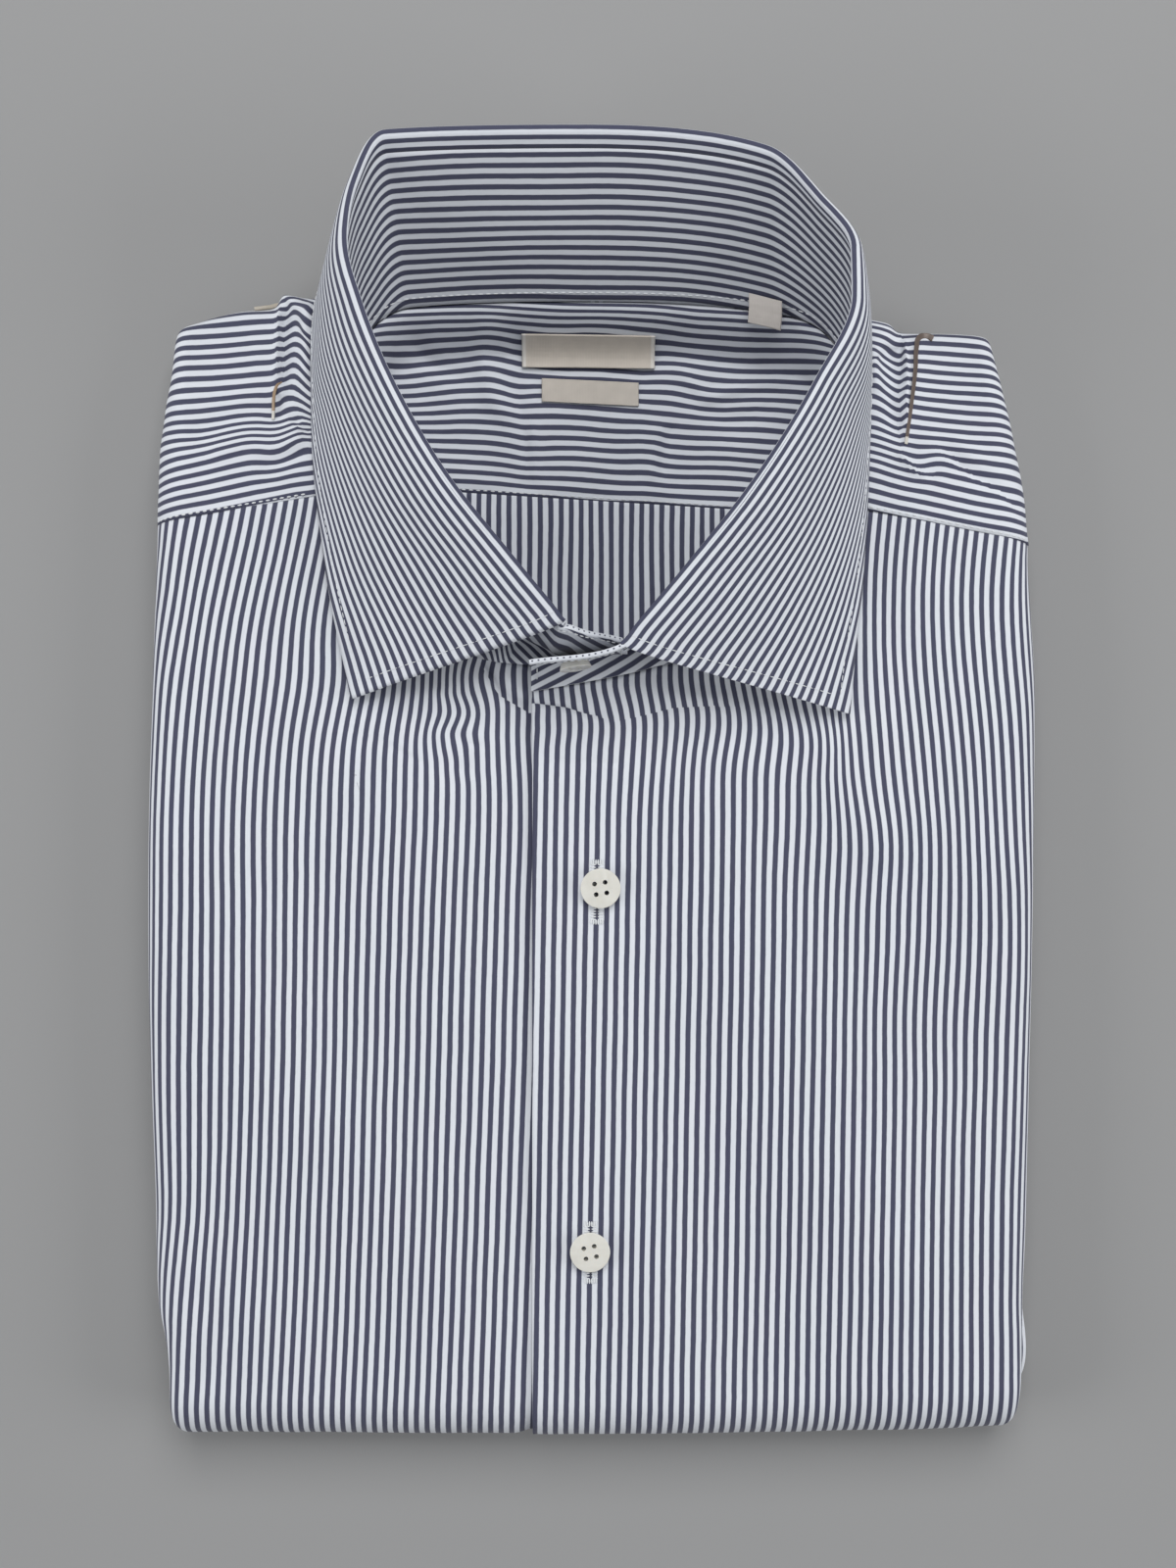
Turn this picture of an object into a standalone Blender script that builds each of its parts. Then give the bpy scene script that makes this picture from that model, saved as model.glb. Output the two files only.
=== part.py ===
"""Folded dress shirt with navy and white stripes, lying on its folded back.

Run with: blender --background --python part.py

The scene is in metres, +Z up. Sizes below are millimetres, times MM where a mesh is made.
The shirt lies on Z = 0 with its collar towards +Y and its front up. Left and right are the
viewer's, looking down on the front. Every cloth piece is one closed wall.
"""

import math

import bmesh
import bpy
import numpy as np
from mathutils import Vector

MM = 0.001
OBJECT_NAME = "folded_dress_shirt"

# Driving sizes
CLOTH_WALL = 1.2
COLLAR_WALL = 1.4
LABEL_WALL = 1.0
GAP = 0.3
SEAM_GAP = 0.55  # between the front and the yoke, in plan
PACK_HEIGHT = 25.0  # underside to the top of the front
PLACKET_X = -15.7  # edge of the right front, which lies over the left one
UNDERLAP = 32.0  # how far the left front runs on under it
UNDERLAP_RISE = 11.0  # width over which the left front comes back up to the surface
BOTTOM_Y = -177.3  # lowest point of the folded bottom edge
FLAP_END_Y = 85.0  # where the tail, folded up behind, ends
NECK_FLOOR = 10.0  # height of the inner back, seen through the neck
NECK_RISE = 13.0  # length over which the inner yoke comes up to the neck seam
INNER_SEAM_Y = 78.0  # the seam of the inner yoke and the inner back, at X = 0
INNER_SEAM_SLOPE = -0.062
PIT_FLOOR = 7.6  # bottom of the hollow cut in the hidden layers under the neck
MIDDLE_X = 0.15  # middle of the whole outline, which goes to the origin
MIDDLE_Y = -5.25
BUTTON_RADIUS = 5.45
BUTTON_HEIGHT = 2.2
BUTTON_HOLE_RADIUS = 0.62
BUTTON_HOLE_REACH = 1.42  # from the button's centre to each hole, along x and y
COLLAR_BUTTON_RADIUS = 4.3
COLLAR_BUTTON_AT = 210.0  # its station along the collar
COLLAR_BUTTON_UP = 0.72  # share of the way up the band's profile
FLARE = (168.0, 188.0)  # stations between which the band's foot comes to lie flat, both sides
FLARE_CORNER = 2.6  # how sharply the flat foot turns up into the upright part; 3 is a corner
CLIP_RADIUS = 0.5

# How finely the fronts and the yoke are drawn: shares of a length, degrees, or counts.
FACE_ROWS = (0.0, 0.02, 0.045, 0.08, 0.14, 0.22, 0.32, 0.43, 0.54, 0.65, 0.75, 0.83, 0.885, 0.925, 0.965)
FOLD_TURNS = (0, 22, 44, 64, 83, 102, 122, 140, 160, 180)
FLAP_ROWS = (0.12, 0.4, 0.7, 1.0)
ROLL_STEPS = 7
LEFT_INNER = (8.0, 0.0, -8.0, PLACKET_X - 0.4, -21.0, -27.0, -35.0, -43.0, -50.0, -56.0, -60.0, -62.0)
LEFT_OUTER = (-75.0, -86.0, -96.0, -104.0)
RIGHT_INNER = (-8.0, 0.0, 8.0, 16.0, 25.0, 34.0, 43.0, 51.0, 58.0, 63.0, 66.5)
RIGHT_OUTER = (80.0, 89.0, 98.0, 105.0)
YOKE_FLAT_STEPS = 5
YOKE_ROLL_STEPS = 7
YOKE_RAYS = 46
BEND_STATIONS = (-72, -65, -59, -54, 54, 60, 65, 71)  # closer together at the collar's back corners

# The collar, in stations by the length along its roll line from the back of the neck.
# base is the neck seam, fold the roll line, and rise the height of the fold over the stand.
COLLAR_COLUMNS = ("at", "base_x", "base_y", "base_z", "fold_x", "fold_y", "fold_z", "rise")
COLLAR = (
    (-212, 11.5, 33.4, 23.9, 8.2, 38.0, 39.5, 0.0),
    (-193, -8.0, 30.5, 24.1, -6.7, 41.6, 50.0, 4.2),
    (-188, -13.2, 31.4, 24.5, -9.8, 45.3, 51.0, 4.4),
    (-172, -29.8, 34.5, 25.7, -19.8, 57.2, 54.0, 5.2),
    (-145, -52.0, 50.5, 26.0, -36.5, 77.9, 58.5, 6.0),
    (-121, -62.0, 72.5, 26.0, -48.8, 98.9, 60.5, 6.0),
    (-97, -65.5, 95.0, 25.8, -57.8, 120.7, 61.0, 6.0),
    (-80, -63.5, 111.0, 25.6, -61.6, 136.9, 60.0, 6.0),
    (-65, -58.0, 122.4, 24.8, -59.3, 152.5, 57.0, 6.0),
    (-50, -48.0, 128.0, 22.7, -52.1, 164.6, 54.5, 6.0),
    (0, -2.0, 129.7, 22.3, -2.0, 166.0, 54.0, 6.0),
    (47, 47.0, 126.8, 22.5, 44.3, 160.8, 54.0, 6.0),
    (65, 61.2, 121.9, 24.4, 57.0, 148.0, 57.0, 6.0),
    (81, 68.6, 110.8, 25.6, 65.6, 134.5, 59.5, 6.0),
    (94, 71.0, 97.0, 25.8, 65.6, 122.0, 61.0, 6.0),
    (117, 69.0, 74.0, 26.0, 56.1, 100.6, 60.5, 6.0),
    (147, 55.5, 48.5, 26.0, 40.5, 75.6, 57.5, 6.0),
    (173, 34.0, 35.0, 25.8, 24.0, 55.0, 53.5, 5.2),
    (190, 17.5, 31.4, 25.8, 12.0, 40.9, 51.0, 4.5),
    (196, 11.5, 29.8, 25.7, 7.5, 35.7, 50.0, 4.2),
    (222, -16.0, 24.6, 25.6, -15.9, 31.7, 49.0, 0.0),
)

# The falling leaf: its outer edge, how far it swells out at the roll and how steeply it ends.
LEAF_COLUMNS = ("at", "edge_x", "edge_y", "edge_z", "swell", "steep")
LEAF = (
    (-193, -63.9, 22.5, 27.6, 8.0, 4.0),
    (-172, -68.2, 42.6, 27.6, 20.0, 12.0),
    (-145, -72.4, 69.5, 27.4, 20.0, 26.0),
    (-121, -74.6, 94.0, 27.0, 18.0, 34.0),
    (-97, -74.8, 113.5, 26.8, 15.0, 36.0),
    (-88, -74.4, 124.5, 26.0, 14.0, 32.0),
    (-80, -72.8, 134.8, 20.0, 13.0, 28.0),
    (-65, -66.5, 145.5, 12.5, 12.0, 20.0),
    (-50, -54.5, 152.5, 10.0, 12.0, 10.0),
    (0, -2.0, 154.5, 9.0, 12.0, 10.0),
    (47, 49.0, 150.0, 10.0, 12.0, 10.0),
    (65, 63.5, 142.0, 13.0, 12.0, 20.0),
    (81, 73.4, 130.4, 20.5, 12.0, 28.0),
    (88, 74.6, 120.0, 26.0, 13.0, 32.0),
    (94, 74.8, 110.0, 26.8, 14.0, 36.0),
    (117, 74.4, 87.5, 27.0, 18.0, 34.0),
    (147, 72.8, 59.0, 27.4, 20.0, 26.0),
    (173, 70.5, 35.5, 27.6, 20.0, 12.0),
    (196, 68.9, 18.6, 27.6, 8.0, 4.0),
)

# Side edges of the fronts, by height up the shirt; the roll is in degrees.
FRONT_COLUMNS = ("y", "left_x", "right_x", "roll_radius", "roll_angle")
FRONT_EDGES = (
    (BOTTOM_Y, -113.4, 115.4, 4.5, 70.0),
    (-160, -113.8, 116.4, 5.5, 90.0),
    (-150, -115.2, 116.9, 7.0, 110.0),
    (-141, -117.2, 117.2, 8.5, 140.0),
    (-107, -118.2, 118.4, 9.0, 150.0),
    (-67, -119.4, 118.9, 9.0, 150.0),
    (-22, -120.2, 119.9, 9.0, 150.0),
    (27, -119.0, 120.5, 9.0, 150.0),
    (70, -117.6, 118.4, 9.0, 150.0),
)
FLAP_ROLL = (4.0, 60.0)  # radius and angle of its side edges

# The yoke's folded edge: the neck station each ray starts at, the outline and the roll there.
YOKE_COLUMNS = ("ray", "at", "edge_x", "edge_y", "top_z", "lip_z", "tail")
YOKE = (
    (0, -114.2, -117.6, 69.8, 25.0, 8.3, 0.8),
    (1, -109, -117.3, 85.0, 24.6, 8.3, 0.8),
    (2, -101, -115.9, 100.0, 22.5, 8.3, 0.8),
    (3, -96.5, -114.3, 112.0, 20.0, 8.3, 0.8),
    (4, -93, -113.0, 122.8, 18.0, 8.3, 0.8),
    (5, -89.5, -106.5, 126.2, 18.0, 8.3, 0.8),
    (6, -86, -96.0, 128.7, 18.5, 8.3, 0.8),
    (7, -82.5, -87.0, 129.4, 19.0, 8.3, 0.8),
    (8, -80.5, -83.0, 133.2, 21.0, 8.3, 0.8),
    (9, -76, -75.0, 132.0, 21.8, 8.3, 0.8),
    (10, -66, -60.5, 132.6, 23.2, 8.0, 0.8),
    (11, -55, -49.0, 133.5, 22.6, 7.6, 0.8),
    (12, -49, -43.0, 133.9, 23.2, 0.0, 32.0),
    (13, -38, -32.0, 134.3, 23.9, 0.0, 34.5),
    (14, -20, -16.0, 134.5, 24.2, 0.0, 36.0),
    (15, 0, -1.0, 134.4, 24.4, 0.0, 36.0),
    (16, 20, 18.0, 133.6, 24.4, 0.0, 35.0),
    (17, 36, 33.0, 132.6, 24.2, 0.0, 33.0),
    (18, 47, 44.0, 131.7, 23.6, 0.0, 31.0),
    (19, 52.5, 50.0, 131.2, 22.6, 7.6, 0.8),
    (20, 62, 59.0, 129.8, 23.0, 8.0, 0.8),
    (21, 75, 73.0, 126.8, 21.8, 8.3, 0.8),
    (22, 79, 80.6, 125.4, 21.0, 8.3, 0.8),
    (23, 82, 84.6, 123.2, 19.0, 8.3, 0.8),
    (24, 85, 92.0, 122.9, 18.5, 8.3, 0.8),
    (25, 88.5, 101.0, 122.6, 18.0, 8.3, 0.8),
    (26, 92, 107.8, 121.6, 18.0, 8.3, 0.8),
    (27, 97, 110.8, 112.5, 20.0, 8.3, 0.8),
    (28, 103, 114.2, 97.0, 22.5, 8.3, 0.8),
    (29, 110, 117.0, 81.0, 24.6, 8.3, 0.8),
    (30, 116.6, 118.8, 64.6, 25.0, 8.3, 0.8),
)

# The sleeves, folded behind: flattened sections down the shirt, for the right one.
SLEEVE_COLUMNS = ("y", "inner_x", "outer_x", "low_z", "high_z")
SLEEVE = (
    (-166, 52.0, 114.0, 4.0, 6.8),
    (-163, 49.0, 118.6, 3.4, 7.6),
    (-156, 48.0, 119.8, 3.3, 7.8),
    (-140, 47.0, 118.2, 3.2, 7.9),
    (-110, 46.0, 117.4, 2.8, 7.9),
    (78, 46.0, 117.4, 2.4, 7.9),
    (86, 51.4, 116.6, 2.2, 7.9),
    (91, 51.6, 115.6, 0.0, 7.9),
    (110, 53.0, 111.5, 0.0, 7.6),
    (117, 56.0, 108.0, 0.0, 6.8),
    (120, 61.0, 103.0, 1.2, 5.4),
)
LEFT_SLEEVE_COLUMNS = ("y", "narrower")
LEFT_SLEEVE = ((-166, 2.0), (-150, 4.2), (-130, 2.6), (-100, 0.6), (119, 0.0))

# The hidden layers: each level's inset from the shirt's outline and its top end.
LAYER_COLUMNS = ("z", "half_width", "bottom_y", "top_y")
LAYERS = (
    (3.0, 33.0, -156.0, 100.0),
    (4.2, 36.0, -161.0, 104.0),
    (7.0, 36.0, -166.0, 104.0),
    (8.3, 36.0, -167.0, 104.0),
    (8.4, 100.0, -169.0, 108.0),
    (9.8, 107.0, -170.0, 110.0),
    (11.2, 110.4, -170.8, 109.0),
    (11.9, 106.0, -168.0, 106.0),
    (12.6, 110.6, -170.8, 105.0),
    (15.4, 110.3, -170.4, 100.0),
    (16.2, 105.0, -167.0, 96.0),
    (17.0, 109.3, -168.6, 94.0),
    (19.6, 107.0, -166.6, 84.0),
    (21.4, 103.6, -163.4, 76.0),
    (22.0, 100.6, -161.0, 72.0),
)

BUTTONS = (("button_upper", 2.5, -27.7), ("button_lower", -0.3, -124.6))  # name, x and y

# Labels on the inner yoke: name, middle x, top y, width and length.
LABELS = (("label_main", -0.7, 122.6, 36.4, 10.2), ("label_small", -0.2, 110.6, 26.8, 8.0))
SIZE_TAG = ((43.0, 128.0, 25.9), (43.4, 124.2, 23.6), (43.8, 120.0, 21.6))  # its left edge
SIZE_TAG_WIDTH = (9.4, -1.6, 0.4)

# The clips over the shoulder folds, as bent wires.
CLIP_LEFT = (
    (-91.5, 130.9, 12.0),
    (-86.0, 131.6, 12.4),
    (-85.6, 131.4, 16.0),
    (-86.0, 127.0, 20.6),
    (-86.0, 118.0, 22.4),
    (-86.6, 104.0, 24.6),
    (-86.9, 97.0, 25.6),
)
CLIP_RIGHT = (
    (95.5, 124.4, 13.0),
    (90.5, 124.6, 13.2),
    (89.6, 124.2, 16.0),
    (89.0, 120.4, 20.6),
    (88.0, 114.0, 22.6),
    (86.0, 102.0, 24.8),
    (84.4, 92.0, 26.2),
)

SKIN = {
    "stripe": ((0.42, 0.44, 0.52, 1.0), 0.8, 0.0),
    "fold": ((0.38, 0.40, 0.48, 1.0), 0.85, 0.0),
    "button": ((0.86, 0.84, 0.78, 1.0), 0.3, 0.0),
    "label": ((0.66, 0.61, 0.55, 1.0), 0.7, 0.0),
    "metal": ((0.16, 0.14, 0.13, 1.0), 0.35, 1.0),
    "clear": ((0.75, 0.68, 0.50, 1.0), 0.2, 0.0),
}


# ---------------------------------------------------------------- helpers


def clear_scene():
    for old in list(bpy.data.objects):
        bpy.data.objects.remove(old, do_unlink=True)


def new_collection(name, helper=False):
    made = bpy.data.collections.new(name)
    bpy.context.scene.collection.children.link(made)
    made.hide_render = helper
    return made


def new_material(name, skin):
    colour, roughness, metallic = SKIN[skin]
    made = bpy.data.materials.new(name)
    made.use_nodes = True
    shader = made.node_tree.nodes["Principled BSDF"]
    shader.inputs["Base Color"].default_value = colour
    shader.inputs["Roughness"].default_value = roughness
    shader.inputs["Metallic"].default_value = metallic
    made.diffuse_color = colour
    return made


def smooth(rows, columns, name, at):
    """One column of a table as a smooth line through its rows, read against the first column."""
    table = np.array(rows, float)
    x = table[:, 0]
    y = table[:, columns.index(name)]
    steps = np.diff(y) / np.diff(x)
    slopes = np.concatenate([steps[:1], (steps[:-1] + steps[1:]) / 2, steps[-1:]])
    # A slope no steeper than the steps beside it keeps the line from overshooting a row.
    for i in range(1, len(x) - 1):
        if steps[i - 1] * steps[i] <= 0:
            slopes[i] = 0.0
        else:
            most = 2.5 * min(abs(steps[i - 1]), abs(steps[i]))
            slopes[i] = math.copysign(min(abs(slopes[i]), most), slopes[i])
    at = np.clip(np.asarray(at, float), x[0], x[-1])
    i = np.clip(np.searchsorted(x, at) - 1, 0, len(x) - 2)
    width = x[i + 1] - x[i]
    t = (at - x[i]) / width
    return (
        (2 * t**3 - 3 * t**2 + 1) * y[i]
        + (t**3 - 2 * t**2 + t) * width * slopes[i]
        + (3 * t**2 - 2 * t**3) * y[i + 1]
        + (t**3 - t**2) * width * slopes[i + 1]
    )


def ease(t):
    """0 to 1 with level ends."""
    t = np.clip(t, 0.0, 1.0)
    return t * t * (3 - 2 * t)


def hermite(start, end, start_pull, end_pull, t):
    return (
        start * (2 * t**3 - 3 * t**2 + 1)
        + start_pull * (t**3 - 2 * t**2 + t)
        + end * (3 * t**2 - 2 * t**3)
        + end_pull * (t**3 - t**2)
    )


def unit(vector):
    return vector / np.linalg.norm(vector)


def mesh_object(name, points, faces, material, collection):
    mesh = bpy.data.meshes.new(name)
    mesh.from_pydata([Vector(p) * MM for p in points], [], faces)
    mesh.materials.append(material)
    made = bpy.data.objects.new(name, mesh)
    collection.objects.link(made)
    return made


def face_out(made):
    """Turns a closed mesh's faces outwards."""
    work = bmesh.new()
    work.from_mesh(made.data)
    bmesh.ops.recalc_face_normals(work, faces=work.faces)
    work.to_mesh(made.data)
    work.free()


def sheet(name, rows, wall, material, collection, turned=False):
    """A cloth wall: an open grid of points, its outer face, and Solidify behind it."""
    across = len(rows[0])
    faces = []
    for i in range(len(rows) - 1):
        for j in range(across - 1):
            corner = i * across + j
            face = (corner, corner + 1, corner + across + 1, corner + across)
            faces.append(face[::-1] if turned else face)
    points = [point for row in rows for point in row]
    made = mesh_object(name, points, faces, material, collection)
    solidify = made.modifiers.new("wall", "SOLIDIFY")
    solidify.thickness = wall * MM
    solidify.offset = -1.0
    solidify.use_quality_normals = True
    return made


def loft(name, rings, material, collection):
    """A closed solid through rings of equal count, with flat ends."""
    count = len(rings[0])
    faces = [tuple(range(count))[::-1]]
    for i in range(len(rings) - 1):
        for j in range(count):
            k = (j + 1) % count
            faces.append((i * count + j, i * count + k, (i + 1) * count + k, (i + 1) * count + j))
    faces.append(tuple((len(rings) - 1) * count + j for j in range(count)))
    made = mesh_object(name, [p for ring in rings for p in ring], faces, material, collection)
    face_out(made)
    return made


# ---------------------------------------------------------------- shared lines of the shirt


def collar_point(at, line):
    return np.array([float(smooth(COLLAR, COLLAR_COLUMNS, f"{line}_{axis}", at)) for axis in "xyz"])


def collar_frame(at):
    """At a station: the neck seam, the fold, the way up between them and the way out."""
    base = collar_point(at, "base")
    fold = collar_point(at, "fold")
    up = unit(fold - base)
    along = unit(collar_point(at + 1, "fold") - collar_point(at - 1, "fold"))
    out = unit(np.cross(up, along))
    return base, fold, up, out


def neck_line(first, last, count):
    return [collar_point(at, "base") for at in np.linspace(first, last, count)]


NECK_LEFT = collar_point(YOKE[0][1], "base")
NECK_RIGHT = collar_point(YOKE[-1][1], "base")


def shoulder_seam_y(x):
    """The seam between each front and the yoke, read along x."""
    left = np.interp(x, [YOKE[0][2], NECK_LEFT[0]], [YOKE[0][3], NECK_LEFT[1]])
    right = np.interp(x, [NECK_RIGHT[0], YOKE[-1][2]], [NECK_RIGHT[1], YOKE[-1][3]])
    return np.where(np.asarray(x) < 0, left, right)


def front_top(x, side):
    """Height up the shirt where a front ends: the neck seam inside, the shoulder seam outside."""
    end, corner_at = (COLLAR[0][0], YOKE[0][1]) if side < 0 else (COLLAR[-1][0], YOKE[-1][1])
    stations = np.linspace(end, corner_at, 80)
    neck = np.array([collar_point(at, "base") for at in stations])
    corner = NECK_LEFT if side < 0 else NECK_RIGHT
    if side * x > side * corner[0] - 1.0:
        return float(shoulder_seam_y(x)) - SEAM_GAP, PACK_HEIGHT
    order = np.argsort(neck[:, 0])
    y = np.interp(x, neck[order, 0], neck[order, 1])
    z = np.interp(x, neck[order, 0], neck[order, 2])
    return float(y), float(z) - GAP - 0.05


def bottom_line(x):
    """How far the bottom fold rises towards its corners."""
    return 0.9 * ((x + 16) / 97) ** 2 if x < -16 else 4.0 * ((x + 16) / 131) ** 2


# ---------------------------------------------------------------- the fronts


def front_level(x, side):
    """Depth of a front's face under the pack's surface: the left one dips in under the placket."""
    if side > 0:
        return 0.0
    under = 1 - ease((PLACKET_X - x) / UNDERLAP_RISE)
    return GAP + under * CLOTH_WALL


def front_path(y_top, top_z, level):
    """The line down one column: the face, the bottom fold and the flap behind, as rows of
    position, depth direction, and share of the way round the fold."""
    radius = PACK_HEIGHT / 2
    fold_y = BOTTOM_Y + radius
    rows = []
    for t in FACE_ROWS:
        y = y_top + (fold_y - y_top) * t
        lift = (top_z - (PACK_HEIGHT - level)) * (1 - ease((y_top - y) / 18.0))
        rows.append((y, PACK_HEIGHT - level + lift, 0.0, -1.0, 0.0))
    for turn in FOLD_TURNS:
        angle = math.radians(turn)
        reach = radius - level
        rows.append(
            (
                fold_y - reach * math.sin(angle),
                radius + reach * math.cos(angle),
                math.sin(angle),
                -math.cos(angle),
                turn / 180,
            )
        )
    for t in FLAP_ROWS:
        rows.append((fold_y + (FLAP_END_Y - fold_y) * t, level, 0.0, 1.0, 1.0))
    return rows


def front(side, material, collection):
    """One front, from the placket round the side edge, and from the neck round the bottom."""
    if side < 0:
        columns = [PLACKET_X + UNDERLAP, *LEFT_INNER, NECK_LEFT[0], NECK_LEFT[0] - 3, *LEFT_OUTER]
        edge = "left_x"
    else:
        columns = [PLACKET_X, *RIGHT_INNER, NECK_RIGHT[0], NECK_RIGHT[0] + 3, *RIGHT_OUTER]
        edge = "right_x"
    paths = []
    for x in columns:
        y_top, top_z = front_top(x, side)
        paths.append(front_path(y_top, top_z, front_level(x, side)))
    outer = front_path(*front_top(columns[-1], side), front_level(columns[-1], side))
    rows = []
    for i in range(len(outer)):
        row = []
        for x, path in zip(columns, paths):
            y, z = path[i][:2]
            row.append((x, y + bottom_line(x) * ease((-100 - y) / 60) * (1 - path[i][4]), z))
        row += side_roll(side, edge, columns[-1], outer[i])
        rows.append(row)
    name = "front_left" if side < 0 else "front_right"
    return sheet(name, rows, CLOTH_WALL, material, collection, turned=side > 0)


def side_roll(side, edge, last_x, place):
    """The points of one row round the side edge."""
    y, z, depth_y, depth_z, turned = place
    half = abs(float(smooth(FRONT_EDGES, FRONT_COLUMNS, edge, y)))
    radius = float(smooth(FRONT_EDGES, FRONT_COLUMNS, "roll_radius", y))
    angle = float(smooth(FRONT_EDGES, FRONT_COLUMNS, "roll_angle", y))
    radius += (FLAP_ROLL[0] - radius) * ease(turned)
    angle += (FLAP_ROLL[1] - angle) * ease(turned)
    points = []
    for step in range(1, ROLL_STEPS + 1):
        turn = math.radians(angle) * step / ROLL_STEPS
        x = side * (half - radius + radius * math.sin(turn))
        depth = radius * (1 - math.cos(turn))
        slant = 0.0
        if turned == 0:
            near_seam = ease((y - 30) / 30)
            slant = near_seam * (float(shoulder_seam_y(x)) - float(shoulder_seam_y(last_x)))
        rise = bottom_line(x) * ease((-100 - y) / 60) * (1 - turned)
        points.append((x, y + depth_y * depth + slant + rise, z + depth_z * depth))
    return points


# ---------------------------------------------------------------- yoke, back and folded layers


def yoke_ray(ray):
    """One line of the outer yoke: from the neck seam out, over the folded edge and under."""
    pick = {name: float(smooth(YOKE, YOKE_COLUMNS, name, ray)) for name in YOKE_COLUMNS[1:]}
    base, _, _, out = collar_frame(pick["at"])
    neck = base + out * COLLAR_WALL / 2
    neck[2] = base[2] - GAP - 0.2 - max(0.0, -out[2]) * COLLAR_WALL
    edge = np.array([pick["edge_x"], pick["edge_y"]])
    way = unit(edge - neck[:2])
    way = unit(way + np.array([0.0, 4.0]) * ease((30 - np.linalg.norm(edge - neck[:2])) / 26))
    under = pick["lip_z"] < 1.0
    turn_end = math.pi if under else math.radians(150)
    radius = (pick["top_z"] - pick["lip_z"]) / (1 - math.cos(turn_end))
    centre = edge - way * radius
    short = np.dot(neck[:2] - centre, way)
    turn_start = math.asin(min(max(short / radius, 0.0), 0.9))
    turn_start += 0.12 if short > 0 else 0.0
    points = []
    begin = np.array([*(centre + way * radius * math.sin(turn_start)), 0.0])
    begin[2] = pick["top_z"] - radius * (1 - math.cos(turn_start))
    for step in range(YOKE_FLAT_STEPS):
        t = step / YOKE_FLAT_STEPS
        line = neck + (begin - neck) * t
        line[2] = neck[2] + (begin[2] - neck[2]) * (t if short > 0 else ease(t) * 0.6 + t * 0.4)
        points.append(line)
    for step in range(YOKE_ROLL_STEPS + 1):
        turn = turn_start + (turn_end - turn_start) * step / YOKE_ROLL_STEPS
        spot = centre + way * radius * math.sin(turn)
        points.append(np.array([*spot, pick["top_z"] - radius * (1 - math.cos(turn))]))
    for t in (0.5, 1.0):
        spot = points[YOKE_FLAT_STEPS + YOKE_ROLL_STEPS][:2] - way * pick["tail"] * t
        z = points[YOKE_FLAT_STEPS + YOKE_ROLL_STEPS][2]
        points.append(np.array([*spot, z]))
    return points


def yoke_outer(material, collection):
    rays = np.linspace(0, len(YOKE) - 1, YOKE_RAYS)
    rows = [yoke_ray(ray) for ray in rays]
    return sheet("yoke_outer", rows, CLOTH_WALL, material, collection, turned=True)


def neck_seam_inside(at):
    """Where the inner yoke meets the neck seam, just inside the stand's foot."""
    base, _, _, out = collar_frame(at)
    inside = base - out * (CLOTH_WALL + 0.9)
    inside[2] = base[2] - GAP - 0.6
    return inside


def inner_seam_point(x):
    """The seam of the inner yoke and the inner back, across the floor of the neck."""
    return np.array([x, INNER_SEAM_Y + INNER_SEAM_SLOPE * x, NECK_FLOOR])


def inner_yoke_height(length):
    """How high the inner yoke still is, as a share of its rise, at a length from the neck seam."""
    return 1 - ease(length / NECK_RISE)


def inner_yoke_rows():
    rows = []
    for at in np.linspace(-108, 110, 25):
        top = neck_seam_inside(at)
        foot = inner_seam_point(top[0] * 0.93)
        length = np.linalg.norm(top[:2] - foot[:2])
        row = []
        for t in (0.0, 0.08, 0.18, 0.3, 0.45, 0.7, 1.0):
            spot = top + (foot - top) * t
            spot[2] = NECK_FLOOR + (top[2] - NECK_FLOOR) * inner_yoke_height(length * t)
            row.append(spot)
        rows.append(row)
    return rows


def back_rows():
    rows = []
    for row in inner_yoke_rows():
        top = row[-1] + np.array([0.0, -GAP - 0.1, 0.0])
        x_foot = top[0] * 0.78
        y_foot = min(front_top(x_foot, -1 if x_foot < 0 else 1)[0] + 5.0, top[1] - 6.0)
        foot = np.array([x_foot, y_foot, NECK_FLOOR - 0.3])
        line = []
        for t in (0.0, 0.15, 0.4, 0.7, 1.0):
            spot = top + (foot - top) * t
            spot[2] = foot[2] + (top[2] - foot[2]) * (1 - ease(t * 2.2))
            line.append(spot)
        rows.append(line)
    return rows


def layer_ring(level):
    """The outline of the hidden layers at one height, as a rounded oblong."""
    z, half_width, bottom_y, top_y = level
    middle_y = (bottom_y + top_y) / 2
    half_length = (top_y - bottom_y) / 2
    corner = min(12.0, half_width / 2)
    points = []
    for sx, sy, first in ((1, 1, 0), (-1, 1, 90), (-1, -1, 180), (1, -1, 270)):
        centre = np.array([sx * (half_width - corner), middle_y + sy * (half_length - corner)])
        for turn in (0, 30, 60, 90):
            angle = math.radians(first + turn)
            points.append(centre + corner * np.array([math.cos(angle), math.sin(angle)]))
    ring = []
    for i, point in enumerate(points):
        ring.append((point[0], point[1], z))
        following = points[(i + 1) % len(points)]
        if np.linalg.norm(following - point) > 20:
            for t in (0.25, 0.5, 0.75):
                spot = point + (following - point) * t
                ring.append((spot[0], spot[1], z))
    return ring


def folded_layers(material, parts, cutters):
    """The hidden cloth as one layered solid, cut out under the neck."""
    core = loft("folded_layers", [layer_ring(level) for level in LAYERS], material, parts)
    loop = neck_line(-193, 196, 48)
    floor = [(p[0], p[1], PIT_FLOOR) for p in loop]
    roof = [(p[0], p[1], PACK_HEIGHT + 40) for p in loop]
    pit = loft("neck_pit", [floor, roof], material, cutters)
    pit.display_type = "WIRE"
    pit.hide_render = True
    cut = core.modifiers.new("neck", "BOOLEAN")
    cut.object = pit
    cut.operation = "DIFFERENCE"
    cut.solver = "EXACT"
    return core


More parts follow.
